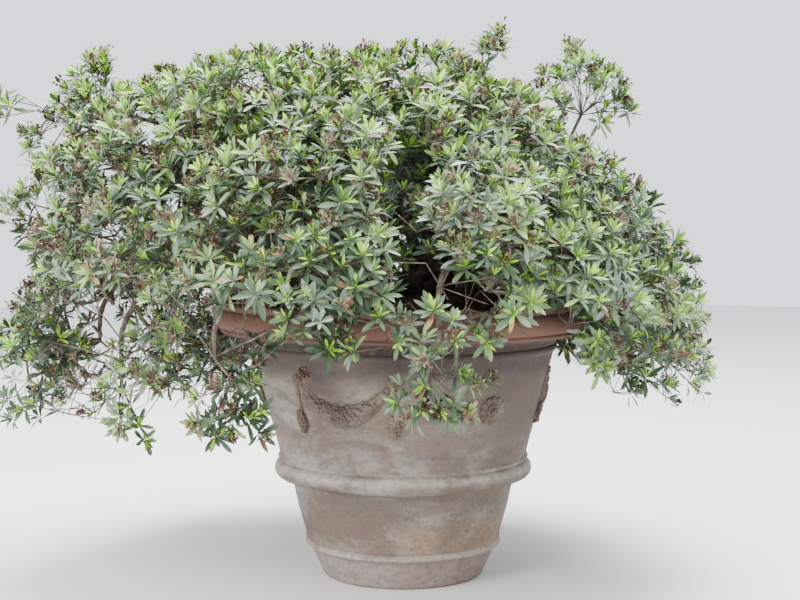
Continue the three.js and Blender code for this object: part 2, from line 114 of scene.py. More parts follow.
def displace(piece, name, size, strength, depth=2, group=""):
    takeUp(piece)
    change = piece.modifiers.new(name, "DISPLACE")
    change.texture = bpy.data.textures.new(name, "CLOUDS")
    change.texture.noise_scale = size
    change.texture.noise_depth = depth
    change.texture_coords = "LOCAL"
    change.vertex_group = group
    change.strength = strength
    bpy.ops.object.modifier_apply(modifier=change.name)


def finishPiece(piece, slotName, look, smooth, *nodes):
    # smooth is the sharpest angle in degrees that is still shaded smooth
    if smooth:
        takeUp(piece)
        bpy.ops.object.shade_smooth_by_angle(angle=math.radians(smooth))
    piece.data.materials.clear()
    piece.data.materials.append(look)
    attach(piece, "root")
    if nodes:
        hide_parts(*nodes)


def pieceFromArrays(name, corners, faces):
    mesh = bpy.data.meshes.new(name)
    corners = np.ascontiguousarray(corners, dtype=np.float32).reshape(-1, 3)
    faces = np.ascontiguousarray(faces, dtype=np.int32)
    mesh.vertices.add(len(corners))
    mesh.vertices.foreach_set("co", corners.ravel())
    mesh.loops.add(faces.size)
    mesh.loops.foreach_set("vertex_index", faces.ravel())
    mesh.polygons.add(len(faces))
    mesh.polygons.foreach_set("loop_start", np.arange(0, faces.size, faces.shape[1], dtype=np.int32))
    mesh.update(calc_edges=True)
    mesh.validate()
    piece = bpy.data.objects.new(name, mesh)
    scene.collection.objects.link(piece)
    return piece


# Materials. A socket holds a constant itself or takes a link from an earlier node

def feed(tree, socket, value):
    if isinstance(value, bpy.types.NodeSocket):
        tree.links.new(value, socket)
    else:
        socket.default_value = (*value, 1.0) if socket.type == "RGBA" else value


def addNode(tree, kind, inputs, **settings):
    node = tree.nodes.new(f"ShaderNode{kind}")
    for key, value in settings.items():
        setattr(node, key, value)
    for key, value in inputs.items():
        feed(tree, node.inputs[key], value)
    return node


def noise(tree, place, scale, detail, roughness, distortion=0.0, stretch=None):
    if stretch:
        place = addNode(tree, "Mapping", {"Vector": place, "Scale": stretch}).outputs["Vector"]
    inputs = {"Vector": place, "Scale": scale, "Detail": detail, "Roughness": roughness,
              "Distortion": distortion}
    return addNode(tree, "TexNoise", inputs).outputs[0]


def mask(tree, place, source, low, high, least=0.0, most=1.0):
    # goes from least to most while its source, an axis or a noise, goes from low to high
    if isinstance(source, str):
        value = addNode(tree, "SeparateXYZ", {0: place}).outputs[source]
    else:
        value = noise(tree, place, *source)
    inputs = {"Value": value, "From Min": low, "From Max": high, "To Min": least, "To Max": most}
    return addNode(tree, "MapRange", inputs, interpolation_type="SMOOTHSTEP").outputs["Result"]


def tint(tree, share, first, second):
    return addNode(tree, "Mix", {0: share, 6: first, 7: second}, data_type="RGBA").outputs[2]


def makeLook(name, roughness, specular, ground, layers=(), bump=None):
    # a layer is a colour and the masks whose product is its share. The colour may be two that a noise mixes
    look = bpy.data.materials.new(name)
    look.use_nodes = True
    tree = look.node_tree
    place = tree.nodes.new("ShaderNodeTexCoord").outputs["Object"]
    for colour, *masks in layers:
        share = mask(tree, place, *masks[0])
        for rule in masks[1:]:
            factors = {0: share, 1: mask(tree, place, *rule)}
            share = addNode(tree, "Math", factors, operation="MULTIPLY").outputs[0]
        if isinstance(colour[0], tuple):
            colour = tint(tree, noise(tree, place, *colour[2]), colour[0], colour[1])
        ground = tint(tree, share, ground, colour)
    shader = tree.nodes["Principled BSDF"]
    for key, value in (("Roughness", roughness), ("Specular IOR Level", specular), ("Base Color", ground)):
        feed(tree, shader.inputs[key], value)
    if bump:
        source, strength, distance = bump
        inputs = {"Height": noise(tree, place, *source), "Strength": strength, "Distance": distance}
        feed(tree, shader.inputs["Normal"], addNode(tree, "Bump", inputs).outputs["Normal"])
    return look


# Stage, lights and camera

stage = {"radius": 9.0, "sides": 96, "floor": (0.66, 0.66, 0.655), "sky": (0.90, 0.93, 0.97),
         "skyStrength": 1.92, "target": (-0.1, 0.0, 0.6)}
# Each lamp's place, size, power and colour
lamps = {
    "key_light": ((-3.0, -3.0, 3.8), 3.4, 420, (1.0, 0.98, 0.95)),
    "front_light": ((-3.3, -3.7, 1.5), 1.6, 190, (1.0, 0.98, 0.95)),
    "top_light": ((0.3, 0.6, 4.4), 3.4, 900, (0.97, 0.99, 1.0)),
}
# The view: fitted to the rings of the pot. focal is in widths of the picture.
view = {"side": -0.006, "distance": 3.07, "height": 0.77, "pitch": 3.55, "focal": 1.8125, "sensor": 36.0}


def setStage():
    floor = added(bpy.ops.mesh.primitive_circle_add, vertices=stage["sides"], radius=stage["radius"],
                  fill_type="NGON")
    floor.name = "floor"
    floor.data.materials.append(makeLook("floor_paint", 0.9, 0.2, stage["floor"]))
    world = bpy.data.worlds.new("studio")
    world.use_nodes = True
    background = world.node_tree.nodes["Background"]
    feed(world.node_tree, background.inputs["Color"], stage["sky"])
    feed(world.node_tree, background.inputs["Strength"], stage["skyStrength"])
    scene.world = world
    for name, (place, size, power, colour) in lamps.items():
        aim = unit(np.array(stage["target"]) - np.array(place))
        turn = (math.acos(-aim[2]), 0, math.atan2(aim[0], -aim[1]) + math.pi)
        light = added(bpy.ops.object.light_add, type="AREA", location=place, rotation=turn)
        light.name = name
        light.data.size = size
        light.data.energy = power
        light.data.color = colour


def placeCamera():
    place = (view["side"], -view["distance"], view["height"])
    turn = (math.radians(90 - view["pitch"]), 0, 0)
    camera = added(bpy.ops.object.camera_add, location=place, rotation=turn)
    camera.name = "camera"
    camera.data.sensor_width = view["sensor"]
    camera.data.lens = view["sensor"] * view["focal"]
    scene.camera = camera


setStage()
placeCamera()
print("stage, lights and camera are set")


# The pot, turned round its axis. Its wall and hollow are given as radius and level

potLow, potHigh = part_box("pot")
pot = {"steps": 168, "height": potHigh.z, "base": 0.044, "foot": 0.170, "drains": 3, "drainRing": 0.096,
       "drain": 0.016, "drainSides": 24, "uneven": {"hand_turned": (0.22, 0.0035), "pitted": (0.018, 0.0008)}}
rim = {"centre": potHigh.x - 0.021, "height": 0.547, "radius": 0.021}
wall = [(0.264, 0.256), (0.262, 0.262), (0.276, 0.317), (0.291, 0.372), (0.306, 0.430), (0.3185, 0.476)]
hollow = [(0.160, pot["base"]), (0.228, 0.250), (0.318, 0.520), (0.350, 0.5715)]
turned = (1.0, 1.0, 1.9)
# Layers of colour from the body up, among them painted shade and painted highlights. A noise is its scale,
# detail, roughness, distortion and stretch
terracotta = {
    "body": ((0.178, 0.142, 0.115), ((2.6, 9, 0.6, 0.3, turned), 0.40, 0.60)),
    "lime": ((0.262, 0.240, 0.226), ((3.9, 12, 0.66, 0.4, turned), 0.44, 0.62, 0.0, 0.85)),
    "algae": ((0.158, 0.146, 0.092), ((1.9, 10, 0.62, 0.4, turned), 0.47, 0.64, 0.0, 0.70)),
    "stains": ((0.060, 0.047, 0.042), ((3.1, 11, 0.66, 0.5, (1.0, 1.0, 4.0)), 0.45, 0.64, 0.0, 0.80),
               ("Z", 0.25, 0.46, 0.45, 1.0)),
    "smudge": ((0.088, 0.074, 0.066), ((5.5, 10, 0.68, 0.3, turned), 0.52, 0.66, 0.0, 0.55),
               ("Z", 0.24, 0.20)),
    # painted shade darkening the right side of the wall above the ring
    "paintedShadeRight": ((0.094, 0.066, 0.056), ("X", 0.02, 0.26), ("Z", 0.22, 0.34),
             ((3.4, 9, 0.62, 0.3, turned), 0.26, 0.56, 0.45, 0.90)),
    # painted shade over the top of the wall, under the rim and the crown
    "shade": ((0.050, 0.036, 0.034), ("Z", 0.405, 0.470),
              ((4.6, 9, 0.62, 0.3, turned), 0.30, 0.58, 0.50, 1.0)),
    "orange": ((0.250, 0.158, 0.102), ("Z", 0.165, 0.105),
               ((3.4, 8, 0.6, 0.3, turned), 0.38, 0.60, 0.2, 0.90), ("X", -0.10, 0.06)),
    "foot": ((0.285, 0.240, 0.226), ("Z", 0.078, 0.066, 0.0, 0.75)),
    "pink": ((0.225, 0.150, 0.128), ("Z", 0.080, 0.070), ((5.0, 6, 0.6), 0.48, 0.62, 0.0, 0.6)),
    "rim": (((0.092, 0.040, 0.027), (0.150, 0.078, 0.055), (5.0, 8, 0.6, 0.2, turned)), ("Z", 0.496, 0.520)),
    # paler patches over the top of the rim
    "paleRimTop": ((0.215, 0.172, 0.138), ("Z", 0.545, 0.575), ((6.0, 10, 0.66), 0.46, 0.62, 0.0, 0.60)),
    # a patchy painted highlight along the top of the ring
    "ring": ((0.360, 0.328, 0.290), ("Z", 0.222, 0.238), ("Z", 0.258, 0.244),
             ((8.0, 9, 0.64), 0.34, 0.60, 0.10, 0.90)),
    # a patchy painted highlight along the bead above the foot
    "bead": ((0.360, 0.328, 0.290), ("Z", 0.062, 0.068), ("Z", 0.084, 0.074),
             ((8.0, 9, 0.64), 0.34, 0.60, 0.10, 0.55)),
    # painted shade in the cove beneath the lip of the rim
    "paintedShadeInCove": ((0.026, 0.018, 0.015), ("Z", 0.488, 0.502), ("Z", 0.524, 0.510),
              ((7.0, 8, 0.65), 0.32, 0.56, 0.35, 1.0)),
    "grain": ((0.085, 0.064, 0.053), ((70.0, 9, 0.75), 0.42, 0.64, 0.0, 0.45)),
    "specks": ((0.040, 0.034, 0.029), ((230.0, 2, 0.5), 0.63, 0.69, 0.0, 0.7), ("Z", 0.26, 0.14, 0.1, 1.0)),
}


def arcPoints(centre, level, radius, first, last, steps):
    angles = np.radians(np.linspace(first, last, steps + 1))
    return [(centre + radius * math.cos(a), level + radius * math.sin(a)) for a in angles]


def straight(points, steps):
    # runs from point to point, each in so many steps, without the first point
    return [tuple(mix(np.array(first), np.array(last), i / count))
            for first, last, count in zip(points, points[1:], steps) for i in range(1, count + 1)]


def potOutline():
    # from the middle of the underside up the wall, over the rim and down the hollow
    footing = [(0.0, 0.0), (0.08, 0.0), (pot["foot"] - 0.006, 0.0), (pot["foot"] - 0.001, 0.002),
               (pot["foot"] + 0.002, 0.007), *straight([(0.172, 0.007), (0.196, 0.061)], [5])]
    bead = [(0.1985, 0.0625), (0.203, 0.0635), *arcPoints(0.2015, 0.070, 0.0060, -50, 60, 4),
            (0.2035, 0.0785), (0.2055, 0.0800), (0.2065, 0.083), (0.2055, 0.087)]
    lower = [*straight([(0.2055, 0.087), (0.222, 0.146), (0.2345, 0.203)], (4, 4)), (0.2375, 0.2045),
             (0.2405, 0.2075), (0.2425, 0.2095)]
    ring = [*arcPoints(0.255, 0.228, 0.018, -84, 78, 14), (0.2600, 0.2475), (0.2640, 0.2500),
            (0.2655, 0.2535)]
    upper = [*wall[:2], *straight(wall[1:], [4] * 4), *arcPoints(0.318, 0.486, 0.008, -62, 62, 6),
             (0.3225, 0.4945)]
    cove = [(0.324 + 0.050 * (1 - math.cos(a)), 0.495 + 0.020 * math.sin(a))
            for a in np.radians(np.linspace(15, 90, 6))]
    lip = [(0.3755, 0.5165), (0.3825, 0.5185), (0.3860, 0.5215), (0.3858, 0.5245), (0.3845, 0.5262),
           *arcPoints(rim["centre"], rim["height"], rim["radius"], -74, 70, 14),
           (0.3868, 0.5682), (0.3884, 0.5705), (0.3880, 0.5752), (0.3850, 0.5785), (0.3800, pot["height"]),
           (0.3680, pot["height"]), (0.3560, 0.5795), (0.3515, 0.5765), hollow[-1]]
    inside = [*straight(hollow[::-1], (4, 6, 4)), (0.08, pot["base"]), (0.0, pot["base"])]
    return footing + bead + lower + ring + upper + cove + lip + inside


def turnedPiece(name, outline, steps):
    # the outline is drawn on from one point, spun round the axis and closed at its poles
    radius, level = outline[0]
    piece = added(bpy.ops.mesh.primitive_plane_add, size=0.01, location=(radius, 0, level))
    piece.name = name
    settle(piece)
    startEdit(piece)
    bpy.ops.mesh.merge(type="CENTER")
    for (r0, z0), (r1, z1) in zip(outline, outline[1:]):
        bpy.ops.mesh.extrude_vertices_move(TRANSFORM_OT_translate={"value": (r1 - r0, 0, z1 - z0)})
    bpy.ops.mesh.select_all(action="SELECT")
    bpy.ops.mesh.spin(steps=steps, angle=fullTurn, center=(0, 0, 0), axis=(0, 0, 1))
    bpy.ops.mesh.select_all(action="SELECT")
    bpy.ops.mesh.remove_doubles(threshold=1e-5)
    endEdit()
    return piece


def buildPot():
    piece = turnedPiece("pot_wall", potOutline(), pot["steps"])
    for hole in range(pot["drains"]):
        place = around(360 * hole / pot["drains"], pot["drainRing"], pot["base"] / 2)
        cutter = added(bpy.ops.mesh.primitive_cylinder_add, vertices=pot["drainSides"], radius=pot["drain"],
                       depth=3 * pot["base"], location=tuple(place))
        takeUp(piece)
        cut = piece.modifiers.new("drain", "BOOLEAN")
        cut.operation = "DIFFERENCE"
        cut.object = cutter
        bpy.ops.object.modifier_apply(modifier=cut.name)
        bpy.data.objects.remove(cutter)
    for name, (size, strength) in pot["uneven"].items():
        displace(piece, name, size, strength)
    look = makeLook("weathered_terracotta_with_painted_light", 0.88, 0.25, (0.126, 0.089, 0.073), terracotta.values(),
                    ((75.0, 9, 0.72), 0.55, 0.003))
    finishPiece(piece, "terracotta", look, 50, "pot")


buildPot()
print("the pot is turned")


# Soil with lumps and crumbs on it

soil = {"level": 0.545, "edge": 0.540, "top": 0.530, "inset": 0.0022, "clear": 0.0008, "steps": 96,
        "rows": 22, "sides": (0.520, 0.385, 0.250, 0.148),
        "uneven": {"lumps": (0.045, 0.010), "crumbs": (0.012, 0.006)}}


def insideHollow(level):
    return float(radiusAt(hollow, level)) - soil["inset"]


def buildSoil():
    bottom = pot["base"] + soil["clear"]
    top = [(insideHollow(soil["edge"]) * share, mix(soil["level"], soil["edge"], share ** 3))
           for share in np.linspace(0, 1, soil["rows"])]
    side = [(insideHollow(level), level) for level in (*soil["sides"], bottom)]
    piece = turnedPiece("soil_surface", [*top, *side, (0.0, bottom)], soil["steps"])
    corners = np.array([v.co for v in piece.data.vertices])
    onTop = corners[:, 2] > soil["top"]
    onTop &= np.hypot(corners[:, 0], corners[:, 1]) < insideHollow(soil["top"])
    group = piece.vertex_groups.new(name="top")
    group.add([int(i) for i in np.nonzero(onTop)[0]], 1.0, "REPLACE")
    for name, (size, strength) in soil["uneven"].items():
        displace(piece, name, size, strength, group="top")
    crumbs = (90.0, 8, 0.7)
    layers = [((0.085, 0.058, 0.040), (crumbs, 0.36, 0.66)),
              ((0.140, 0.105, 0.075), ((14.0, 6, 0.6), 0.56, 0.72, 0.0, 0.5))]
    look = makeLook("crumbly_soil", 1.0, 0.1, (0.020, 0.014, 0.010), layers, (crumbs, 0.9, 0.006))
    finishPiece(piece, "soil", look, 60, "soil")


buildSoil()
print("the soil is laid")


# Relief on the wall: garlands, tassels and rosettes, each modelled once at the front and copied round

relief = {"repeats": 3, "first": -23.5, "halfSpan": 20.0, "knot": 0.438, "lean": 0.259, "worn": 0.0004}
garland = {"sag": 0.069, "curve": 2.3, "span": 0.97, "thick": 0.0262, "thin": 0.0058, "swell": 0.85,
           "steps": 28, "sides": 16, "full": 0.97, "sunk": 0.48, "lumps": 330, "from": 0.04, "to": 0.96,
           "spread": 0.90, "sizes": (0.0034, 0.0056), "small": 0.012, "narrow": 0.011, "tilt": 0.7,
           "leaf": (1.35, 0.60, 0.66), "fruit": (1.0, 0.70, 1.0)}
bow = {"loops": 5, "turn": 1.257, "wide": 1.1, "high": 0.0065, "out": 0.002, "loop": (0.0052, 0.0045, 0.0038),
       "knot": (0.0042, 0.0042, 0.0042), "knotOut": 0.004}
# A row of fruit at the tassel's end: its level, half width and count. Its middle: level, size, lift, facets
tassel = {"length": 0.108, "ribbon": 0.62, "steps": 12, "top": 0.008, "out": 0.0014, "thin": 0.0026,
          "thick": 0.0044, "sides": 8, "sway": 0.55, "apart": 0.35, "wave": 0.25, "waves": 7,
          "sizes": (0.0028, 0.0046), "fruit": (1.0, 0.85, 1.25), "fan": 25, "tilt": 0.4, "deep": 0.0085,
          "round": 1.2,
          "rows": ((0.371, 0.0055, 3), (0.364, 0.0085, 5), (0.356, 0.0108, 4), (0.348, 0.0112, 5),
                   (0.341, 0.0092, 4), (0.335, 0.0055, 4)),
          "middle": ((0.352, (0.0115, 0.0080, 0.0210), 0.001, (16, 10)),
                     (0.331, (0.0040, 0.0036, 0.0045), 0.003, (9, 6)))}
# A ring of petals: its count, share of the radius, a petal's length and width, and its lift
rosette = {"height": 0.376, "radius": 0.0300, "thick": 0.42, "facets": (12, 8),
           "rings": ((12, 0.78, 0.0072, 0.0064, 0.0040), (9, 0.42, 0.0048, 0.0042, 0.0072)),
           "middle": (((0.0282, 0.0065, 0.0282), 0, (32, 10)), ((0.0066, 0.0044, 0.0066), 0.0085, (14, 8)))}


def onWall(azimuth, level, across=0.0, out=0.0):
    # a place on the leaning wall: across runs up it, out stands off it
    radius = float(radiusAt(wall, level)) + out * math.cos(relief["lean"]) + across * math.sin(relief["lean"])
    return around(azimuth, radius, level - out * math.sin(relief["lean"]) + across * math.cos(relief["lean"]))


def azimuthOf(across, level):
    return math.degrees(across / float(radiusAt(wall, level)))


def lump(place, size, tilt, azimuth, segments=9, rings=6):
    piece = added(bpy.ops.mesh.primitive_uv_sphere_add, segments=segments, ring_count=rings, radius=1.0)
    piece.scale = size
    piece.rotation_mode = "YXZ"
    piece.rotation_euler = (relief["lean"], tilt, math.radians(azimuth))
    piece.location = place
    settle(piece)
    return piece


def wallLump(azimuth, level, size, tilt=0.0, across=0.0, out=0.0, *facets):
    return lump(onWall(azimuth, level, across, out), size, tilt, azimuth, *facets)


def joinPieces(pieces, name):
    deselectAll()
    for piece in pieces:
        piece.select_set(True)
    bpy.context.view_layer.objects.active = pieces[0]
    bpy.ops.object.join()
    piece = bpy.context.object
    piece.name = piece.data.name = name
    return piece


def tubeAlong(points, radii, sides):
    # a curve with a radius at each point, made a mesh
    line = bpy.data.curves.new("line", "CURVE")
    line.dimensions = "3D"
    line.bevel_depth = 1.0
    line.bevel_resolution = max(0, (sides - 4) // 2)
    line.use_fill_caps = True
    spline = line.splines.new("POLY")
    spline.points.add(len(points) - 1)
    for point, place, radius in zip(spline.points, points, radii):
        point.co = (*place, 1.0)
        point.radius = radius
    piece = bpy.data.objects.new("line", line)
    scene.collection.objects.link(piece)
    takeUp(piece)
    bpy.ops.object.convert(target="MESH")
    return bpy.context.object


def garlandAt(share):
    # its azimuth and level
    side = 2 * share - 1
    level = relief["knot"] - garland["sag"] * (1 - abs(side) ** garland["curve"])
    return relief["halfSpan"] * garland["span"] * side, level


def garlandSlope(share):
    first, last = onWall(*garlandAt(share - 0.01)), onWall(*garlandAt(share + 0.01))
    return math.atan2(last[2] - first[2], math.hypot(last[0] - first[0], last[1] - first[1]))


def modelGarland():
    rng = np.random.default_rng(71)
    full, sunk = garland["full"], garland["sunk"]
    shares = np.linspace(0, 1, garland["steps"] + 1)
    swell = mix(garland["thin"], garland["thick"], np.sin(math.pi * shares) ** garland["swell"])
    body = [onWall(*garlandAt(share), 0.0, -sunk * width) for share, width in zip(shares, swell)]
    pieces = [tubeAlong(body, swell * full, garland["sides"])]
    for i in range(garland["lumps"]):
        share = mix(garland["from"], garland["to"], (i + 0.5) / garland["lumps"])
        width = float(np.interp(share, shares, swell))
        drop = width * rng.uniform(-garland["spread"], garland["spread"])
        lift = max(0.0, math.sqrt(max(0.0, full ** 2 - (drop / width) ** 2)) - sunk) * width
        size = min(1.0, width / garland["small"]) * rng.uniform(*garland["sizes"])
        leafy = i % 3 == 0 or width < garland["narrow"]
        stretch = [size * part for part in garland["leaf" if leafy else "fruit"]]
        tilt = -garlandSlope(share) + rng.uniform(-garland["tilt"], garland["tilt"])
        pieces.append(wallLump(*garlandAt(share), stretch, tilt, drop, lift))
    for end in (-1, 1):
        azimuth = relief["halfSpan"] * garland["span"] * end
        for k in range(bow["loops"]):
            turn = k * bow["turn"]
            across = bow["high"] * math.sin(turn)
            place = onWall(azimuth + bow["wide"] * math.cos(turn), relief["knot"], across, bow["out"])
            pieces.append(lump(place, bow["loop"], turn, azimuth))
        pieces.append(wallLump(azimuth, relief["knot"], bow["knot"], out=bow["knotOut"]))
    return joinPieces(pieces, "garland_model")


def modelTassel():
    rng = np.random.default_rng(72)
    top = relief["knot"] - tassel["top"]
    bottom = relief["knot"] - tassel["length"] * tassel["ribbon"]
    levels = np.linspace(top, bottom, tassel["steps"])
    pieces = []
    for side in (-1, 1):
        wave = tassel["wave"] * np.sin(tassel["waves"] * (top - levels) / (top - bottom))
        sway = tassel["sway"] * side * (tassel["apart"] + wave)
        points = [onWall(azimuth, level, 0, tassel["out"]) for azimuth, level in zip(sway, levels)]
        radii = np.linspace(tassel["thin"], tassel["thick"], tassel["steps"])
        pieces.append(tubeAlong(points, radii, tassel["sides"]))
    for level, width, count in tassel["rows"]:
        for k in range(count):
            across = mix(-1, 1, (k + 0.5) / count) * width
            size = rng.uniform(*tassel["sizes"])
            stretch = [size * part for part in tassel["fruit"]]
            tilt = across * tassel["fan"] + rng.normal(0, tassel["tilt"])
            lift = tassel["deep"] * math.sqrt(max(0.0, 1 - (across / (width * tassel["round"])) ** 2))
            pieces.append(wallLump(azimuthOf(across, level), level, stretch, tilt, 0, lift))
    for level, size, lift, facets in tassel["middle"]:
        pieces.append(wallLump(0, level, size, 0, 0, lift, *facets))
    return joinPieces(pieces, "tassel_model")


def modelRosette():
    level, radius = rosette["height"], rosette["radius"]
    pieces = [wallLump(0, level, size, 0, 0, lift, *facets) for size, lift, facets in rosette["middle"]]
    for number, (count, share, long, wide, lift) in enumerate(rosette["rings"]):
        for k in range(count):
            angle = fullTurn * (k + 0.5 * number) / count
            azimuth = azimuthOf(radius * share * math.cos(angle), level)
            across = radius * share * math.sin(angle)
            size = (long, wide * rosette["thick"], wide)
            pieces.append(wallLump(azimuth, level, size, -angle, across, lift, *rosette["facets"]))
    return joinPieces(pieces, "rosette_model")


def copyRound(model, name, azimuth, look, node):
    piece = model.copy()
    piece.data = model.data.copy()
    piece.name = piece.data.name = name
    scene.collection.objects.link(piece)
    piece.rotation_euler = (0.0, 0.0, math.radians(azimuth))
    settle(piece)
    finishPiece(piece, "relief", look, 60, node)


def buildRelief():
    layers = [((0.140, 0.106, 0.088), ((30.0, 8, 0.66), 0.36, 0.62)),
              ((0.180, 0.156, 0.138), ((11.0, 9, 0.66), 0.52, 0.70, 0.0, 0.6))]
    bump = ((160.0, 6, 0.7), 0.35, 0.0010)
    look = makeLook("moulded_terracotta", 0.9, 0.2, (0.080, 0.056, 0.046), layers, bump)
    models = [modelGarland(), modelTassel(), modelRosette()]
    for model in models:
        displace(model, "worn", 0.008, relief["worn"], 1)
    for i in range(relief["repeats"]):
        centre = relief["first"] + 360 * i / relief["repeats"]
        between = centre + 180 / relief["repeats"]
        copyRound(models[0], f"swag_{i + 1}", centre, look, f"garland_{i + 1}")
        for number, side in ((2 * i + 1, -1), (2 * i + 2, 1)):
            end = centre + side * relief["halfSpan"]
            copyRound(models[1], f"pendant_{number}", end, look, f"tassel_{number}")
        copyRound(models[2], f"flower_boss_{i + 1}", between, look, f"rosette_{i + 1}")
    for model in models:
        bpy.data.objects.remove(model)


buildRelief()
print("the relief is on the wall")


# The crown's outline: its reach at an azimuth, its underside and its top at a share of that reach

crown = {"left": 0.838, "right": 0.602, "front": 0.642, "back": 0.682, "top": 1.120, "middle": 0.600,
         "roundness": 1.4}
squareness = {"left": 3.0, "right": 1.3, "front": 2.1, "back": 2.1}
# Low waves in the reach: their share of it, turns all round and radians up each metre of height
waves = [(0.03, 5, 17.0), (0.03, 8, -23.0)]
skirt = {"inner": 0.606, "left": 0.372, "right": 0.440, "front": 0.572, "back": 0.445, "from": 0.42,
         "to": 0.68}
# Tails that hang below the skirt: azimuth, half width in degrees and depth
tails = [(3, 10, 0.190), (-38, 11, 0.132), (-58, 9, 0.085), (-75, 9, 0.060), (-97, 14, 0.048),
         (-133, 14, 0.090), (158, 14, 0.100), (84, 14, 0.070)]
trunk = {"x": 0.030, "y": 0.008, "level": 0.5453, "height": 0.104, "lean": 0.010, "foot": 0.074,
         "waist": 0.046, "top": 0.041}
foot = np.array([trunk["x"], trunk["y"], soil["level"]])


def allRound(angle, sides):
    side = np.where(np.sin(angle) > 0, sides["right"], sides["left"])
    deep = np.where(np.cos(angle) > 0, sides["front"], sides["back"])
    return mix(deep, side, np.abs(np.sin(angle)) ** crown["roundness"])


def crownTop(angle, share):
    square = allRound(angle, squareness)
    high = np.maximum(0, 1 - share ** square) ** (1 / square)
    return crown["middle"] + (crown["top"] - crown["middle"]) * high


def crownUnderside(angle, share):
    rise = ramp(share, skirt["from"], skirt["to"])
    lowest = allRound(angle, skirt)
    for azimuth, spread, depth in tails:
        away = (np.degrees(angle) - azimuth + 540) % 360 - 180
        lowest = lowest - depth * np.maximum(0, 1 - (away / spread) ** 2) ** 2
    return mix(skirt["inner"], lowest, rise * rise * (3 - 2 * rise))


def inCrown(points):
    dx, dy = points[..., 0] - trunk["x"], points[..., 1] - trunk["y"]
    angle = np.arctan2(dx, -dy)
    level = points[..., 2]
    waviness = 1 + sum(size * np.sin(turns * angle + rise * level) for size, turns, rise in waves)
    share = np.hypot(dx, dy) / (allRound(angle, crown) * waviness)
    inside = share < 1
    share = np.minimum(share, 1.0)
    return inside & (level < crownTop(angle, share)) & (level > crownUnderside(angle, share))


def crownPoint(azimuth, share, level):
    reach = float(allRound(math.radians(azimuth), crown))
    return around(azimuth, reach * share, level) + np.array([trunk["x"], trunk["y"], 0])


# Limbs: each a curve from its start by a lead to its end, and the centre of the mass at its tip

tiers = [
    {"name": "leader", "count": 1, "first": -90, "step": 0, "share": 0.12, "up": 0.7,
     "from": 0.94, "collar": 0.0, "base": 0.013, "tip": 0.006},
    {"name": "upper", "count": 5, "first": 30, "step": 72, "share": 0.47, "up": 0.66,
     "from": 0.9, "collar": 0.026, "base": 0.012, "tip": 0.006},
    {"name": "spreading", "count": 8, "first": 22, "step": 45, "share": 0.75, "up": 0.5,
     "from": 0.52, "collar": 0.034, "base": 0.015, "tip": 0.007},
]
hanging = {"along": 0.6, "rise": 0.030, "droop": 0.65, "base": 0.009, "tip": 0.005}
# Each hanging branch: the spreading bough it leaves, and its mass's azimuth, share of the reach and height
hangingBranches = [(7, -40, 0.78, 0.455), (6, -66, 0.78, 0.430), (5, -94, 0.82, 0.445), (4, -131, 0.8, 0.480),
                   (3, 158, 0.8, 0.500), (1, 84, 0.8, 0.510), (0, 4, 0.76, 0.500)]
limbRule = {"end": 0.74, "lead": 0.5, "taper": 0.8, "rows": 8}


def alongLimb(limb, shares):
    t = np.linspace(0, 1, 101)[:, None]
    line = (1 - t) ** 2 * limb["start"] + 2 * t * (1 - t) * limb["lead"] + t ** 2 * limb["end"]
    run = np.concatenate([[0], np.cumsum(np.linalg.norm(np.diff(line, axis=0), axis=1))])
    return np.stack([np.interp(np.asarray(shares) * run[-1], run, line[:, k]) for k in range(3)], axis=-1)


def boughsOf(tier):
    boughs = []
    for i in range(tier["count"]):
        azimuth = tier["first"] + tier["step"] * i
        angle = math.radians(azimuth)
        level = mix(crownUnderside(angle, tier["share"]), crownTop(angle, tier["share"]), tier["up"])
        centre = crownPoint(azimuth, tier["share"], float(level))
        start = around(azimuth, tier["collar"], soil["level"] + trunk["height"] * tier["from"])
        start = start + np.array([trunk["x"] + trunk["lean"] * tier["from"], trunk["y"], 0])
        end = mix(start, centre, limbRule["end"])
        lead = mix(start, end, limbRule["lead"])
        lead[2] = mix(lead[2], end[2], 0.5)
        boughs.append({**tier, "node": f"{tier['name']}_{i + 1}", "kind": "bough", "start": start,
                       "lead": lead, "end": end, "centre": centre})
    return boughs


def branchesOf(spreading):
    branches = []
    for i, (bough, azimuth, share, level) in enumerate(hangingBranches):
        start = alongLimb(spreading[bough], [hanging["along"]])[0]
        centre = crownPoint(azimuth, share, level)
        end = np.array([centre[0], centre[1], mix(start[2], centre[2], hanging["droop"])])
        lead = np.array([centre[0], centre[1], start[2] + hanging["rise"]])
        branches.append({**hanging, "name": "hanging", "node": f"hanging_{i + 1}", "kind": "branch",
                         "start": start, "lead": lead, "end": end, "centre": centre})
    return branches


leader, upper, spreading = [boughsOf(tier) for tier in tiers]
limbs = [*leader, *upper, *spreading, *branchesOf(spreading)]
for number, limb in enumerate(limbs):
    limb["number"] = number
    limb["line"] = alongLimb(limb, np.linspace(0, 1, limbRule["rows"] + 1))
centres = np.array([limb["centre"] for limb in limbs])


# Trunk and limbs with the relief of their bark

bark = {"sides": 56, "rows": 44, "flare": 0.42, "drawnIn": 0.9, "narrow": 0.55, "lobes": 5, "depth": 0.16,
        "fade": 0.6, "ridges": ((0.035, 17, 5), (0.02, 29, -9)), "burrs": (0.020, 0.004)}
stub = {"azimuth": 28, "radius": 0.014, "tip": 0.012, "start": 0.6, "out": 0.088, "rise": 0.046, "steps": 14}
limbBark = {"spacing": 0.007, "scars": 0.10, "scarsApart": 0.034, "wander": 0.0035, "turns": (9, 13, 11),
            "sides": 14, "burrs": (0.010, 0.0032)}
barkLook = makeLook("grey_brown_bark", 0.92, 0.2, (0.050, 0.037, 0.029), [
    ((0.165, 0.128, 0.102), ((55.0, 8, 0.7), 0.36, 0.66)),
    ((0.225, 0.218, 0.182), ((16.0, 7, 0.6), 0.58, 0.72, 0.0, 0.55)),
], ((170.0, 7, 0.7), 0.8, 0.003))


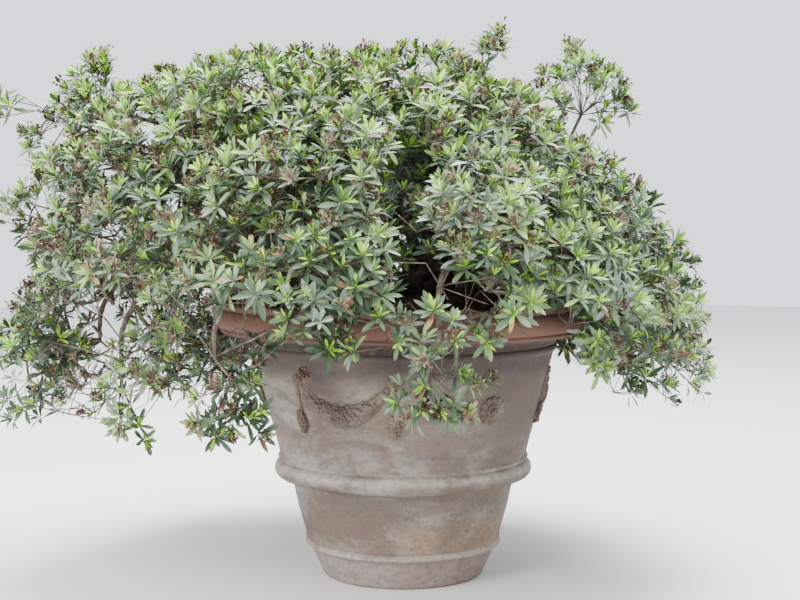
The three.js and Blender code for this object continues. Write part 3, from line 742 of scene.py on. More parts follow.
def buildTrunk():
    # rows of a circle, extruded up and drawn in towards the fork, then lobed where the roots leave it
    centre = np.array([trunk["x"], trunk["y"], trunk["level"]])
    size = trunk["foot"]
    piece = added(bpy.ops.mesh.primitive_circle_add, vertices=bark["sides"], radius=size, fill_type="NGON",
                  location=tuple(centre))
    piece.name = "trunk_bark"
    settle(piece)
    startEdit(piece)
    step = np.array([trunk["lean"], 0, trunk["height"]]) / bark["rows"]
    for row in range(1, bark["rows"] + 1):
        share = row / bark["rows"]
        flare = max(0.0, 1 - share / bark["flare"]) ** 2
        nextSize = mix(trunk["waist"], trunk["top"], share) + (trunk["foot"] - trunk["waist"]) * flare
        nextSize *= 1 - bark["narrow"] * max(0.0, share - bark["drawnIn"]) / (1 - bark["drawnIn"])
        centre = centre + step
        bpy.ops.mesh.extrude_region_move(TRANSFORM_OT_translate={"value": tuple(step)})
        bpy.ops.transform.resize(value=(nextSize / size, nextSize / size, 1), center_override=tuple(centre))
        size = nextSize
    endEdit()
    for vertex in piece.data.vertices:
        share = (vertex.co.z - trunk["level"]) / trunk["height"]
        dx = vertex.co.x - trunk["x"] - trunk["lean"] * share
        dy = vertex.co.y - trunk["y"]
        angle = math.atan2(dy, dx)
        depth = bark["depth"] * max(0.0, 1 - share / bark["fade"])
        grow = math.cos(bark["lobes"] * angle + 3 * share) * depth - depth
        grow += sum(high * math.sin(turns * angle + lean * share) for high, turns, lean in bark["ridges"])
        vertex.co.x += dx * grow
        vertex.co.y += dy * grow
    level = soil["level"] + trunk["height"] * stub["start"]
    start = np.array([trunk["x"] + trunk["lean"] * 0.5, trunk["y"], level])
    end = start + around(stub["azimuth"], stub["out"], stub["rise"])
    shares = np.linspace(0, 1, stub["steps"])
    stubPiece = tubeAlong([mix(start, end, s) for s in shares], mix(stub["radius"], stub["tip"], shares), 16)
    piece = joinPieces([piece, stubPiece], "trunk_bark")
    displace(piece, "burrs", *bark["burrs"])
    finishPiece(piece, "bark", barkLook, 45, "trunk")


def buildLimbs():
    rng = np.random.default_rng(73)
    groups = {"boughs_upper": ("leader", "upper"), "boughs_spreading": ("spreading",),
              "branches_hanging": ("hanging",)}
    for name, tierNames in groups.items():
        chosen = [limb for limb in limbs if limb["name"] in tierNames]
        pieces = []
        for limb in chosen:
            length = np.linalg.norm(np.diff(limb["line"], axis=0), axis=1).sum()
            shares = np.linspace(0, 1, int(length / limbBark["spacing"]))
            scars = np.sin(shares * length / limbBark["scarsApart"] * fullTurn + rng.uniform(0, 6))
            radii = mix(limb["base"], limb["tip"], shares ** limbRule["taper"])
            radii = radii * (1 + limbBark["scars"] * np.maximum(0, scars) ** 6)
            wander = np.stack([np.sin(shares * k + rng.uniform(0, 6)) for k in limbBark["turns"]], axis=-1)
            fade = np.minimum(1, np.minimum(shares, 1 - shares) * 6)[:, None]
            points = alongLimb(limb, shares) + wander * limbBark["wander"] * fade
            pieces.append(tubeAlong(points, radii, limbBark["sides"]))
        piece = joinPieces(pieces, name)
        displace(piece, name, *limbBark["burrs"])
        finishPiece(piece, "bark", barkLook, 50, *[f"{limb['kind']}_{limb['node']}" for limb in chosen])


buildTrunk()
buildLimbs()
print("trunk and limbs have their bark")


# Foliage: where whorls may be

clearance = {"space": 0.006, "limb": 0.010, "pot": 0.016, "relief": 0.030, "shoot": 0.030}
segmentStarts = np.concatenate([limb["line"][:-1] for limb in limbs])
segmentEnds = np.concatenate([limb["line"][1:] for limb in limbs])
segmentSizes = np.repeat([limb["base"] for limb in limbs], limbRule["rows"])
# How far the pot reaches, as radius and level
potReach = [(0.170, 0.0), (0.207, 0.072), (0.236, 0.205), (0.273, 0.228), (0.264, 0.256), (0.292, 0.374),
            (0.318, 0.476), (0.330, 0.495), (0.385, 0.522), (0.400, 0.547), (0.400, 0.580)]
# Places left open, as centre, half sizes and power: round the hanging branches on the left, the cleft in
# front, and over the rim and the garlands. A higher power makes a place more like a box.
openings = [
    ((-0.425, -0.27, 0.455), (0.300, 0.58, 0.155), 6),
    ((-0.300, -0.45, 0.545), (0.105, 0.25, 0.070), 4),
    ((0.015, -0.52, 0.680), (0.045, 0.28, 0.120), 2),
    ((0.020, -0.50, 0.865), (0.050, 0.26, 0.065), 2),
    ((0.100, -0.46, 0.625), (0.100, 0.16, 0.040), 2),
    ((0.190, -0.43, 0.530), (0.170, 0.15, 0.078), 4),
    ((-0.140, -0.45, 0.480), (0.170, 0.15, 0.055), 4),
    ((0.060, -0.44, 0.430), (0.250, 0.20, 0.090), 4),
]
# Small gaps right through the crown as seen from the front, where waves across it rise above a limit: their
# length, slope in degrees and phase. They open towards the upper left.
gapWaves = [(0.121, 17, 1.4), (0.143, 68, 2.6), (0.129, 117, 0.9), (0.152, 158, 4.2)]
gaps = {"from": -0.30, "to": -0.50, "low": 0.58, "high": 0.68, "top": 0.93, "full": 1.02, "limit": 1.30,
        "closed": 4.5}


def inOwnSpace(points, number, margin):
    between = np.delete(centres, number, axis=0) - centres[number]
    half = np.linalg.norm(between, axis=1) / 2
    far = np.einsum("...k,nk->...n", points - centres[number], unit(between))
    return np.all(far < half - margin, axis=-1)


def clearOfLimbs(points, margin):
    free = np.ones(len(points), bool)
    for start, end, size in zip(segmentStarts, segmentEnds, segmentSizes):
        along = end - start
        share = np.clip((points - start) @ along / (along @ along), 0, 1)
        free &= np.linalg.norm(points - start - share[:, None] * along, axis=1) > size + margin
    return free


def clearOfPot(points, margin):
    level = points[..., 2]
    outside = radiusAt(potReach, level) + np.where(level < wall[-1][1], clearance["relief"], 0.0)
    return (level > pot["height"] + margin) | (np.hypot(points[..., 0], points[..., 1]) > outside + margin)


def outsideOpenings(points):
    free = np.ones(points.shape[:-1], bool)
    for centre, half, power in openings:
        free &= np.sum(np.abs((points - np.array(centre)) / np.array(half)) ** power, axis=-1) > 1
    return free


def clearOfGaps(points):
    share = view["distance"] / (points[..., 1] + view["distance"])
    across = view["side"] + (points[..., 0] - view["side"]) * share
    level = view["height"] + (points[..., 2] - view["height"]) * share
    swell = 0.0
    for length, slope, phase in gapWaves:
        angle = math.radians(slope)
        along = across * math.cos(angle) + level * math.sin(angle)
        swell = swell + np.sin(fullTurn / length * along + phase)
    zone = ramp(across, gaps["from"], gaps["to"]) * ramp(level, gaps["low"], gaps["high"])
    zone = np.maximum(zone, ramp(level, gaps["top"], gaps["full"]))
    return swell < mix(gaps["closed"], gaps["limit"], zone)


# Foliage: sprays stand on a spiral round each mass's centre, as far out as the outline and the mass's space
# let them, and each spray is a low dome of whorls

sprays = {"directions": 130, "step": 0.012, "most": 0.460, "edge": 0.018, "ahead": 0.985, "back": -0.80,
          "apart": 0.070, "depths": (0.98, 0.74, 0.48), "ragged": 0.040, "least": 0.02, "lift": 0.75,
          "stem": 0.050, "first": 138, "turn": 37, "out": 0.5, "loose": 0.20}
spray = {"least": 7, "most": 11, "radius": 0.068, "sizes": (0.75, 1.10), "middle": 0.3, "dome": 0.45,
         "fan": 0.60, "loose": 0.006}
whorl = {"apart": 0.030, "edge": -0.006, "lift": 0.30, "loose": 0.22}


def squareTo(axes):
    # two directions square to the axes and to each other
    side = unit(np.cross(axes, aslant))
    return side, np.cross(axes, side)


def spokesOf(turn, side, third):
    return np.cos(turn)[:, None] * side + np.sin(turn)[:, None] * third


def sprayPlaces(limb, rng):
    centre = limb["centre"]
    outward = unit(centre - foot)
    side, third = squareTo(outward)
    count = sprays["directions"]
    ahead = np.linspace(sprays["ahead"], sprays["back"], count)
    across = np.sqrt(1 - ahead ** 2)
    turn = goldenAngle * np.arange(count) + sprays["first"] + sprays["turn"] * limb["number"]
    directions = (ahead[:, None] * outward + (across * np.cos(turn))[:, None] * side
                  + (across * np.sin(turn))[:, None] * third)
    distances = np.arange(sprays["step"], sprays["most"], sprays["step"])
    points = centre + directions[:, None, :] * distances[None, :, None]
    free = inCrown(points + directions[:, None, :] * sprays["edge"])
    free &= inOwnSpace(points, limb["number"], clearance["space"])
    free &= clearOfPot(points, clearance["pot"])
    reach = np.cumprod(free, axis=1).sum(axis=1) * sprays["step"]
    places, headings = [], []
    for depth in sprays["depths"]:
        far = reach * depth - rng.uniform(0, sprays["ragged"], count)
        chosen = far > sprays["least"]
        places.append(centre + directions[chosen] * far[chosen, None])
        headings.append(directions[chosen])
    places, headings = np.concatenate(places), np.concatenate(headings)
    loose = rng.normal(0, sprays["loose"], places.shape)
    return places, unit(unit(places - foot) + sprays["out"] * headings + up * sprays["lift"] + loose)


def apartFrom(places, taken, gap):
    # a place is kept where it lies far enough from every place kept before it
    kept = []
    for i, place in enumerate(places):
        if not taken or np.min(np.sum((np.array(taken) - place) ** 2, axis=1)) > gap ** 2:
            kept.append(i)
            taken.append(place)
    return kept


def whorlPlaces(place, axis, rng):
    side, third = squareTo(axis)
    count = rng.integers(spray["least"], spray["most"] + 1)
    numbers = np.arange(count)
    radius = spray["radius"] * rng.uniform(*spray["sizes"]) * np.sqrt((numbers + spray["middle"]) / count)
    turn = goldenAngle * numbers + rng.uniform(0, fullTurn)
    offset = radius[:, None] * spokesOf(turn, side, third)
    drop = spray["dome"] * radius ** 2 / spray["radius"]
    places = place + offset - axis * drop[:, None] + rng.normal(0, spray["loose"], offset.shape)
    axes = axis + offset / spray["radius"] * spray["fan"] + up * whorl["lift"]
    axes = unit(axes + rng.normal(0, whorl["loose"], offset.shape))
    free = inCrown(places + unit(places - foot) * whorl["edge"]) & clearOfPot(places, clearance["pot"])
    free &= clearOfLimbs(places, clearance["limb"]) & outsideOpenings(places) & clearOfGaps(places)
    return places[free], axes[free]


# Foliage: twigs. The stem grows on from the limb's tip, sprays fork off earlier twigs, and each spray's own
# twigs spread from its joint

twig = {"stem": 0.030, "seat": (-0.004, 0.013), "fork": 0.5, "thin": 0.00105, "grow": 0.39, "collar": 1.05,
        "sides": 4, "bow": 0.10, "tipBow": 0.06}
# Bare twigs inside the crown, without leaves
bare = {"each": 60, "least": 0.05, "most": 0.16, "edge": 0.05}
# Shoots past the outline and in the open places. A whorl has a second one close by: always above a level,
# and as often as the rule says below it
shoot = {"bow": 0.05, "pair": 0.026, "always": 0.7, "else": 0.35, "on": 0.8, "loose": 0.2,
         "turned": np.array([0.0, -0.65, 0.65])}
# The limb that each shoot grows from, its fork and its whorls, here in millimetres
shoots = [
    ("upper_4", (-700, -20, 955), [(-846, 0, 1006), (-830, -30, 965), (-764, 0, 930), (-764, 20, 856),
        (-736, 10, 955), (-790, 10, 900)]),
    ("upper_4", (-630, -20, 985), [(-656, 10, 1086), (-626, 0, 1080), (-684, -20, 1047), (-652, 20, 1053),
        (-620, -20, 1047), (-700, 0, 1018), (-667, -40, 1018), (-722, 0, 993), (-688, 20, 990),
        (-650, -50, 995), (-616, 30, 1015), (-582, -20, 1008), (-546, 10, 992), (-675, -40, 962)]),
    ("spreading_7", (-745, -70, 750), [(-838, -70, 782), (-806, -90, 760), (-775, -60, 793),
        (-845, -50, 750)]),
    ("upper_1", (160, -215, 1035), [(169, -255, 1083), (154, -235, 1078), (187, -245, 1077)]),
    ("upper_2", (385, 80, 975), [(352, 54, 1107), (352, 74, 1079), (363, 61, 1050), (407, 65, 1082),
        (440, 51, 1056), (462, 73, 1030), (330, 66, 1058), (399, 94, 1044), (458, 72, 998), (380, 24, 1085),
        (421, 36, 1040), (306, 50, 1030), (325, 29, 1005), (488, 54, 980), (430, 83, 985)]),
    ("hanging_7", (50, -420, 470), [(-4, -421, 447), (-10, -418, 418), (40, -416, 447), (65, -412, 402),
        (94, -418, 412), (114, -412, 392), (97, -439, 470), (124, -426, 450), (154, -412, 456),
        (35, -413, 409)]),
    ("hanging_7", (40, -425, 540), [(56, -437, 517), (20, -426, 527), (32, -433, 500), (-91, -452, 513),
        (-106, -437, 540)]),
    ("hanging_7", (120, -430, 590), [(136, -441, 560), (150, -451, 533), (165, -441, 578)]),
    ("hanging_1", (-180, -430, 590), [(-182, -444, 549), (-208, -443, 572), (-125, -460, 543),
        (-138, -453, 517), (-155, -433, 565)]),
    ("spreading_1", (350, -290, 560), [(347, -289, 532), (372, -309, 522), (392, -299, 497), (359, -286, 492),
        (380, -289, 462)]),
    ("hanging_1", (-310, -440, 460), [(-371, -440, 426), (-367, -450, 385), (-331, -440, 443),
        (-278, -430, 453), (-309, -450, 408), (-265, -440, 406), (-265, -430, 360), (-342, -440, 358),
        (-292, -450, 430), (-340, -430, 405), (-312, -440, 376), (-436, -350, 435)]),
    ("hanging_1", (-290, -410, 515), [(-302, -420, 504), (-270, -425, 490), (-258, -415, 518)]),
    ("hanging_2", (-500, -300, 505), [(-533, -300, 479), (-505, -310, 462), (-520, -290, 524),
        (-480, -300, 538), (-487, -310, 448), (-552, -290, 502), (-464, -300, 487), (-451, -350, 521),
        (-415, -370, 545)]),
    ("hanging_2", (-550, -260, 430), [(-586, -250, 398), (-535, -250, 388), (-508, -250, 320),
        (-572, -260, 423), (-604, -250, 374), (-520, -240, 348), (-555, -260, 366)]),
    ("hanging_3", (-735, -80, 490), [(-690, -100, 464), (-704, -110, 505), (-668, -90, 490), (-737, -60, 470),
        (-780, -70, 494)]),
    ("hanging_3", (-780, -60, 420), [(-826, -60, 376), (-784, -60, 456), (-752, -50, 430), (-812, -60, 418),
        (-818, -50, 334), (-788, -70, 358), (-764, -60, 390)]),
]


def growTo(tree, start, place, bend, rng):
    # one path from an earlier node by a joint part of the way, which later twigs may fork off
    nodes = tree["nodes"]
    gap = place - nodes[start]
    length = np.linalg.norm(gap)
    aside = np.cross(gap / max(length, 1e-9), rng.normal(size=3)) * length * bend
    nodes.extend([mix(nodes[start], place, twig["fork"]) + aside, place])
    last = len(nodes) - 1
    tree["parents"].extend([start, last - 1])
    tree["paths"].append((start, last - 1, last))
    return last


def addTip(tree, end, axis, number):
    tree["tips"].append(end)
    tree["axes"].append(axis)
    tree["sprays"].append(number)


def growBare(tree, rng):
    for start in rng.integers(0, len(tree["nodes"]), bare["each"]):
        heading = unit(rng.normal(0, 1, 3))
        place = tree["nodes"][start] + heading * rng.uniform(bare["least"], bare["most"])
        if inCrown(place + heading * bare["edge"]) and clearOfPot(place, clearance["pot"]):
            growTo(tree, int(start), place, twig["bow"] * 2, rng)


def growShoots(tree, number, takenWhorls, rng):
    for node, place, whorls in shoots:
        if node != tree["limb"]["node"]:
            continue
        fork = growTo(tree, 0, np.array(place) / 1000, shoot["bow"], rng)
        for tip in np.array(whorls) / 1000:
            end = growTo(tree, fork, tip, twig["bow"], rng)
            pair = tip + unit(rng.normal(0, 1, 3)) * shoot["pair"]
            likely = 1.0 if tip[2] > shoot["always"] else shoot["else"]
            double = clearOfPot(pair, clearance["shoot"]) and rng.random() < likely
            ends = [end, growTo(tree, end - 1, pair, twig["bow"], rng)] if double else [end]
            for end in ends:
                heading = unit(tree["nodes"][end] - tree["nodes"][fork]) * shoot["on"]
                addTip(tree, end, unit(heading + shoot["turned"] + rng.normal(0, shoot["loose"], 3)), number)
                takenWhorls.append(tree["nodes"][end])


def growMass(limb, takenSprays, takenWhorls, rng):
    places, axes = sprayPlaces(limb, rng)
    firstSpray = len(takenSprays)
    kept = apartFrom(places, takenSprays, sprays["apart"])
    places, axes = places[kept], axes[kept]
    root = limb["end"] + unit(limb["end"] - limb["lead"]) * twig["stem"]
    tree = {"limb": limb, "nodes": [root], "parents": [-1], "paths": [], "tips": [], "axes": [], "sprays": []}
    growShoots(tree, len(takenSprays), takenWhorls, rng)
    for i in np.argsort(np.linalg.norm(places - root, axis=1)):
        whorls, whorlAxes = whorlPlaces(places[i], axes[i], rng)
        joint = places[i] - axes[i] * sprays["stem"]
        if len(whorls) < 2 or not clearOfPot(joint, clearance["pot"]):
            continue
        kept = apartFrom(whorls, takenWhorls, whorl["apart"])
        if len(kept) < 2:
            continue
        nearest = int(np.argmin(np.linalg.norm(np.array(tree["nodes"]) - joint, axis=1)))
        base = growTo(tree, nearest, joint, twig["bow"], rng)
        for k in kept:
            addTip(tree, growTo(tree, base, whorls[k], twig["tipBow"], rng), whorlAxes[k], firstSpray + i)
    growBare(tree, rng)
    return tree


def loadsOf(tree):
    # how many tips each node carries, which says how thick it is
    load = np.zeros(len(tree["nodes"]))
    load[tree["tips"]] = 1
    for i in range(len(load) - 1, 0, -1):
        load[tree["parents"][i]] += load[i]
    return np.maximum(load, 1)


def twigTubes(lines, radii):
    # each line is three places with a radius at each
    tangents = unit(np.gradient(lines, axis=1))
    side = unit(np.cross(tangents, aslant + np.array([0.3, 0.4, 0.0])))
    third = np.cross(tangents, side)
    turns = fullTurn * np.arange(twig["sides"]) / twig["sides"]
    spokes = np.cos(turns)[:, None] * side[:, :, None, :] + np.sin(turns)[:, None] * third[:, :, None, :]
    rings = lines[:, :, None, :] + radii[:, :, None, None] * spokes
    count, rows, sides = rings.shape[:3]
    here = np.arange(sides)
    after = (here + 1) % sides
    base = (np.arange(count) * rows * sides)[:, None, None]
    low = base + (np.arange(rows - 1) * sides)[:, None]
    high = low + sides
    quads = np.stack([low + here, low + after, high + after, high + here], axis=-1)
    endCaps = base[:, :, 0] + (rows - 1) * sides + here
    startCaps = base[:, :, 0] + here[::-1]
    return rings.reshape(-1, 3), np.concatenate([quads.reshape(-1, 4), endCaps, startCaps])


def buildTwigs(trees):
    lines, sizes = [], []
    for tree in trees:
        nodes = np.array(tree["nodes"])
        radii = twig["thin"] * loadsOf(tree) ** twig["grow"]
        for start, joint, tip in tree["paths"]:
            lines.append(nodes[[start, joint, tip]])
            sizes.append((radii[joint] * twig["collar"], radii[joint], radii[tip]))
        limb = tree["limb"]
        along = unit(limb["end"] - limb["lead"])
        lines.append(limb["end"] + np.outer((*twig["seat"], twig["stem"]), along))
        sizes.append((limb["tip"],) * 3)
    piece = pieceFromArrays("twigs", *twigTubes(np.array(lines), np.array(sizes)))
    finishPiece(piece, "bark", barkLook, 60)


# Foliage: a leaf is a folded blade of a few triangles. Older leaves stand in a whorl at each tip, with young
# ones upright in its heart. A pair goes from the lowest leaf of a whorl to its highest

leaf = {"length": 0.0370, "width": 0.0089, "fold": 0.28, "turn": 0.24, "roll": 0.16, "vigour": (0.80, 1.22)}
blades = {
    "older": {"stations": (0.0, 0.28, 0.56, 0.82, 1.0), "widths": (0.0, 0.62, 1.0, 0.80, 0.0), "least": 10,
              "most": 14, "lean": 0.16, "pitch": (1.46, 0.46), "loose": 0.17, "lengths": (1.06, 0.80),
              "long": (0.84, 1.10), "narrow": 1.0, "wide": (0.84, 1.14), "bend": (0.45, 0.15), "curl": 0.18,
              "base": (-0.006, 0.004)},
    "young": {"stations": (0.0, 0.36, 0.74, 1.0), "widths": (0.0, 0.85, 0.92, 0.0), "least": 5, "most": 9,
              "lean": None, "pitch": (0.98, 0.22), "loose": 0.12, "lengths": (0.736, 0.512),
              "long": (0.85, 1.12), "narrow": 0.92, "wide": None, "bend": (0.05, 0.05), "curl": 0.15,
              "base": (0.004, 0.008)},
    "petal": {"stations": (0.0, 0.60, 1.0), "widths": (0.0, 1.0, 0.0), "least": 26, "most": 34},
}


def bladeFaces(shape):
    # a fan at each pointed end and pairs of triangles on both sides of the midrib between them
    rows = len(blades[shape]["stations"]) - 2
    faces = [[0, 3, 2], [0, 2, 1]]
    for row in range(rows - 1):
        a = 1 + 3 * row
        faces += [[a, a + 1, a + 4], [a, a + 4, a + 3], [a + 1, a + 2, a + 5], [a + 1, a + 5, a + 4]]
    a = 3 * rows - 2
    return np.array(faces + [[a, a + 1, a + 3], [a + 1, a + 2, a + 3]])


def bladeCorners(shape, base, heading, normal, length, width, bend, fold):
    side = np.cross(heading, normal)
    corners = []
    for t, w in zip(blades[shape]["stations"], blades[shape]["widths"]):
        ahead = heading * (length * (t - bend ** 2 * t ** 3 / 6))[:, None]
        rib = base + ahead - normal * (length * bend * t * t / 2)[:, None]
        half = (width * w / 2)[:, None]
        lift = normal * (width * w / 2 * fold)[:, None]
        corners.extend([rib] if w == 0 else [rib - side * half + lift, rib, rib + side * half + lift])
    return np.stack(corners, axis=1)


def poseBlades(axes, first, order, pitch, rng):
    # headings and upper sides of the blades of one turn round each whorl
    side, third = squareTo(axes)
    count = len(axes)
    turn = first + goldenAngle * order + rng.normal(0, leaf["turn"], count)
    spoke = spokesOf(turn, side, third)
    heading = spoke * np.sin(pitch)[:, None] + axes * np.cos(pitch)[:, None]
    normal = axes * np.sin(pitch)[:, None] - spoke * np.cos(pitch)[:, None]
    normal = normal + np.cross(heading, spoke) * rng.normal(0, leaf["roll"], count)[:, None]
    return heading, unit(normal - heading * np.sum(normal * heading, axis=1)[:, None])


def startWhorls(shape, count, rng):
    number = rng.integers(blades[shape]["least"], blades[shape]["most"] + 1, count)
    return number, rng.uniform(0, fullTurn, count)


def dealLeaves(shape, places, axes, sizes, rng):
    # leaves from the lowest ones up, each with its height in the whorl and the whorl it stands in
    rule = blades[shape]
    number, first = startWhorls(shape, len(places), rng)
    lean = rng.normal(0, rule["lean"], len(places)) if rule["lean"] else np.zeros(len(places))
    corners, levels, owners = [], [], []
    for i in range(rule["most"]):
        chosen = np.nonzero(i < number)[0]
        count = len(chosen)
        level = i / (number[chosen] - 1.0)
        pitch = mix(*rule["pitch"], level) + lean[chosen] + rng.normal(0, rule["loose"], count)
        heading, normal = poseBlades(axes[chosen], first[chosen], i, pitch, rng)
        length = sizes[chosen] * mix(*rule["lengths"], level) * rng.uniform(*rule["long"], count)
        width = length * leaf["width"] / leaf["length"] * rule["narrow"]
        width = width * rng.uniform(*rule["wide"], count) if rule["wide"] else width
        bend = mix(*rule["bend"], level) + rng.normal(0, rule["curl"], count)
        base = places[chosen] + axes[chosen] * mix(*rule["base"], level)[:, None]
        corners.append(bladeCorners(shape, base, heading, normal, length, width, bend, leaf["fold"]))
        levels.append(level)
        owners.append(chosen)
    return np.concatenate(corners), np.concatenate(levels), np.concatenate(owners)


# Withered flowers: clumps of curled brown petals and stalks over the whorl, likelier towards the left

withered = {"length": 0.0120, "long": (0.65, 1.20), "width": 0.0060, "wide": (0.45, 1.30), "curl": 2.0,
            "curls": (-0.9, 1.2), "pitch": (0.10, 2.40), "fold": (0.3, 1.6), "lift": 0.017, "lean": 0.004,
            "spread": 0.0052, "across": (-0.5, -0.2, 0.1, 0.35), "likely": (0.54, 0.34, 0.34, 0.22)}


def dealPetals(places, axes, rng):
    number, first = startWhorls("petal", len(places), rng)
    lean = rng.normal(0, withered["lean"], places.shape)
    corners = []
    for i in range(blades["petal"]["most"]):
        chosen = np.nonzero(i < number)[0]
        count = len(chosen)
        pitch = rng.uniform(*withered["pitch"], count)
        heading, normal = poseBlades(axes[chosen], first[chosen], i, pitch, rng)
        base = places[chosen] + axes[chosen] * withered["lift"] + lean[chosen]
        base = base + rng.normal(0, withered["spread"], (count, 3))
        length = withered["length"] * rng.uniform(*withered["long"], count)
        width = withered["width"] * rng.uniform(*withered["wide"], count)
        bend = withered["curl"] * rng.uniform(*withered["curls"], count)
        fold = rng.uniform(*withered["fold"], count)
        corners.append(bladeCorners("petal", base, heading, normal, length, width, bend, fold))
    return np.concatenate(corners)


# Kinds of leaf: the share of sprays that take it, two colours and a roughness
leafKinds = {
    "leaves_deep": (0.25, (0.034, 0.063, 0.033), (0.054, 0.091, 0.048), 0.38),
    "leaves_mid": (0.26, (0.078, 0.127, 0.063), (0.106, 0.162, 0.084), 0.40),
    # grey-green leaves whose blue-grey tone is partly a painted sheen
    "leaves_grey": (0.26, (0.128, 0.177, 0.131), (0.172, 0.226, 0.168), 0.42),
    "leaves_light": (0.23, (0.154, 0.242, 0.084), (0.202, 0.296, 0.106), 0.42),
    "leaves_young": (0.0, (0.270, 0.515, 0.040), (0.390, 0.650, 0.072), 0.42),
    "leaves_turning": (0.0, (0.200, 0.100, 0.045), (0.270, 0.170, 0.070), 0.55),
}
# Kinds of withered flower: from which share to which, two colours and a roughness
flowerKinds = {
    "flowers_rust": (0.0, 0.60, (0.042, 0.021, 0.014), (0.092, 0.044, 0.028), 0.75),
    # tan clumps of faded petals, partly a painted highlight
    "flowers_faded_and_highlight": (0.60, 1.0, (0.125, 0.074, 0.052), (0.260, 0.172, 0.122), 0.75),
}
# How often a whorl keeps its spray's kind, a low leaf goes darker as painted shade and a high one light as
# painted light, grey goes light in the sun, a leaf turns, and a whorl has young leaves with flowers or
# without
often = {"kept": 0.6, "low": 0.35, "darker": 0.6, "high": 0.70, "light": 0.35, "sun": 0.6, "turning": 0.012,
         "spent": 0.36, "fresh": 0.70}
sun = {"from": 0.78, "to": 0.98, "small": 0.96, "large": 1.14}


def dealKinds(levels, owners, sprayNumbers, sunny, rng):
    # each spray takes one green and most of its whorls keep it. Painted shade makes the lowest leaves a shade
    # deeper, painted light makes the topmost and those in the sun a shade lighter, and an odd one turns
    # before it falls
    bounds = np.cumsum([share for share, *look in leafKinds.values()])[:4]
    sprayGreens = np.searchsorted(bounds, rng.random(int(sprayNumbers.max()) + 1) * 0.999)
    ownGreens = np.searchsorted(bounds, rng.random(len(sprayNumbers)) * 0.999)
    greens = np.where(rng.random(len(sprayNumbers)) < often["kept"], sprayGreens[sprayNumbers], ownGreens)
    names = list(leafKinds)
    grey, light, turning = [names.index(f"leaves_{kind}") for kind in ("grey", "light", "turning")]
    kinds, count = greens[owners], len(levels)
    # painted shade on the lowest leaves of a whorl, painted light on the topmost and on grey ones in the sun
    darker = (levels < often["low"]) & (rng.random(count) < often["darker"])
    kinds = np.where(darker, np.maximum(kinds - 1, 0), kinds)
    kinds = np.where((levels > often["high"]) & (rng.random(count) < often["light"]), light, kinds)
    kinds = np.where((kinds == grey) & (rng.random(count) < often["sun"] * sunny[owners]), light, kinds)
    return np.where(rng.random(count) < often["turning"], turning, kinds)


def bladePiece(name, shape, corners, look, *nodes):
    faces = bladeFaces(shape)
    starts = np.arange(len(corners)) * corners.shape[1]
    piece = pieceFromArrays(name, corners, (faces[None] + starts[:, None, None]).reshape(-1, 3))
    colour, shade, roughness = look
    layers = [(shade, ((18.0, 4, 0.6), 0.34, 0.66))]
    look = makeLook(name, roughness, 0.42, colour, layers, ((320.0, 3, 0.6), 0.25, 0.0006))
    finishPiece(piece, "foliage", look, None, *nodes)
    print(f"{name} has {len(corners)} blades")


# Litter on the soil, and a flower that has dropped onto the wall

litter = {"leaves": 260, "reach": 0.325, "middle": 0.08, "edge": 0.008, "lift": 0.008, "loose": 0.004,
          "tilt": 0.25, "length": 0.036, "long": (0.5, 1.0), "width": 0.0105, "wide": (0.7, 1.1),
          "bend": 0.2, "curl": 0.5,
          "flower": (-0.181, -0.266, 0.473), "faces": (-0.3, -0.5, -0.8),
          "look": ((0.085, 0.045, 0.024), (0.200, 0.125, 0.066), 0.8)}


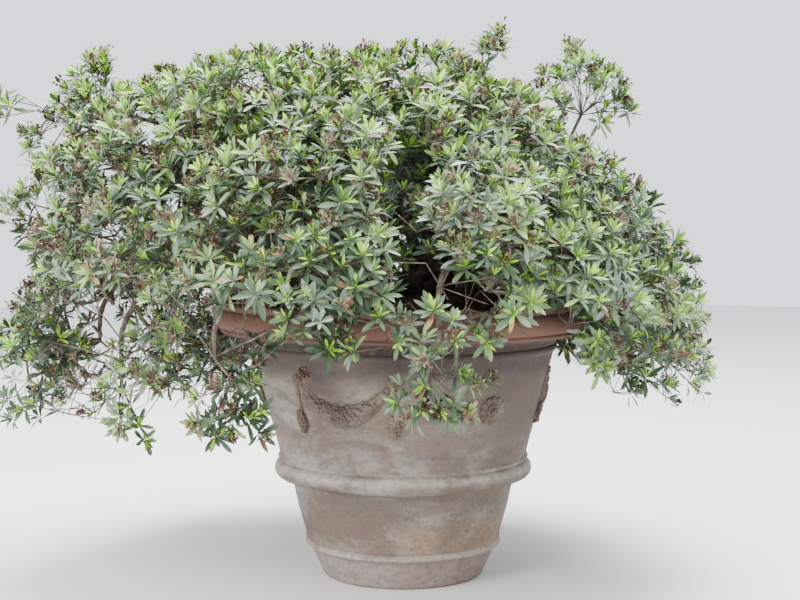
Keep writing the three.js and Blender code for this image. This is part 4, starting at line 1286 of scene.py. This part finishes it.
def litterCorners(rng):
    count = litter["leaves"]
    turn = rng.uniform(0, fullTurn, count)
    radius = litter["reach"] * np.sqrt(rng.uniform(litter["middle"], 1, count))
    level = soil["level"] + litter["lift"] + rng.uniform(0, litter["loose"], count)
    base = np.stack([radius * np.cos(turn), radius * np.sin(turn), level], axis=1)
    normal = unit(up + rng.normal(0, litter["tilt"], (count, 3)))
    heading = unit(np.cross(normal, rng.normal(0, 1, (count, 3))))
    length = litter["length"] * rng.uniform(*litter["long"], count)
    base = base - heading * length[:, None] / 2
    width = litter["width"] * rng.uniform(*litter["wide"], count)
    tip = base + heading * length[:, None]
    furthest = np.maximum(np.hypot(tip[:, 0], tip[:, 1]), np.hypot(base[:, 0], base[:, 1]))
    bend = rng.normal(litter["bend"], litter["curl"], count)
    corners = bladeCorners("young", base, heading, normal, length, width, bend, leaf["fold"])
    return corners[furthest < litter["reach"] + litter["edge"]]


def buildFoliage():
    rng = np.random.default_rng(4301)
    takenSprays, takenWhorls, trees = [], [], []
    for limb in limbs:
        trees.append(growMass(limb, takenSprays, takenWhorls, rng))
        print(f"{limb['node']} has {len(trees[-1]['tips'])} whorls")
    buildTwigs(trees)
    places = np.concatenate([np.array(tree["nodes"])[tree["tips"]] for tree in trees])
    axes, numbers = [np.concatenate([tree[key] for tree in trees]) for key in ("axes", "sprays")]
    count = len(places)
    print(f"the crown has {count} whorls")
    sizes = leaf["length"] * rng.uniform(*leaf["vigour"], count)
    leaves, levels, owners = dealLeaves("older", places, axes, sizes, rng)
    sunny = np.interp(places[:, 2], (sun["from"], sun["to"]), (0, 1))
    kinds = dealKinds(levels, owners, numbers, sunny, rng)
    spent = rng.random(count) < np.interp(places[:, 0], withered["across"], withered["likely"])
    flowerShare = rng.random(count)
    leafy = rng.random(count) < mix(np.where(spent, often["spent"], often["fresh"]), 1.0, sunny)
    sizes = sizes * mix(sun["small"], sun["large"], sunny)
    masses = [f"foliage_{limb['node']}" for limb in limbs]
    for number, (name, (share, *look)) in enumerate(leafKinds.items()):
        if name == "leaves_young":
            young = dealLeaves("young", places[leafy], axes[leafy], sizes[leafy], rng)[0]
            bladePiece(name, "young", young, look)
        else:
            bladePiece(name, "older", leaves[kinds == number], look, *(masses if number == 0 else []))
    for name, (first, last, *look) in flowerKinds.items():
        chosen = spent & (flowerShare >= first) & (flowerShare < last)
        petals = dealPetals(places[chosen], axes[chosen], rng)
        if name == "flowers_rust":
            fallen = dealPetals(np.array([litter["flower"]]), unit(np.array([litter["faces"]])), rng)
            petals = np.concatenate([petals, fallen])
        bladePiece(name, "petal", petals, look)
    bladePiece("leaf_litter", "young", litterCorners(rng), litter["look"])


buildFoliage()
print("the foliage is grown")
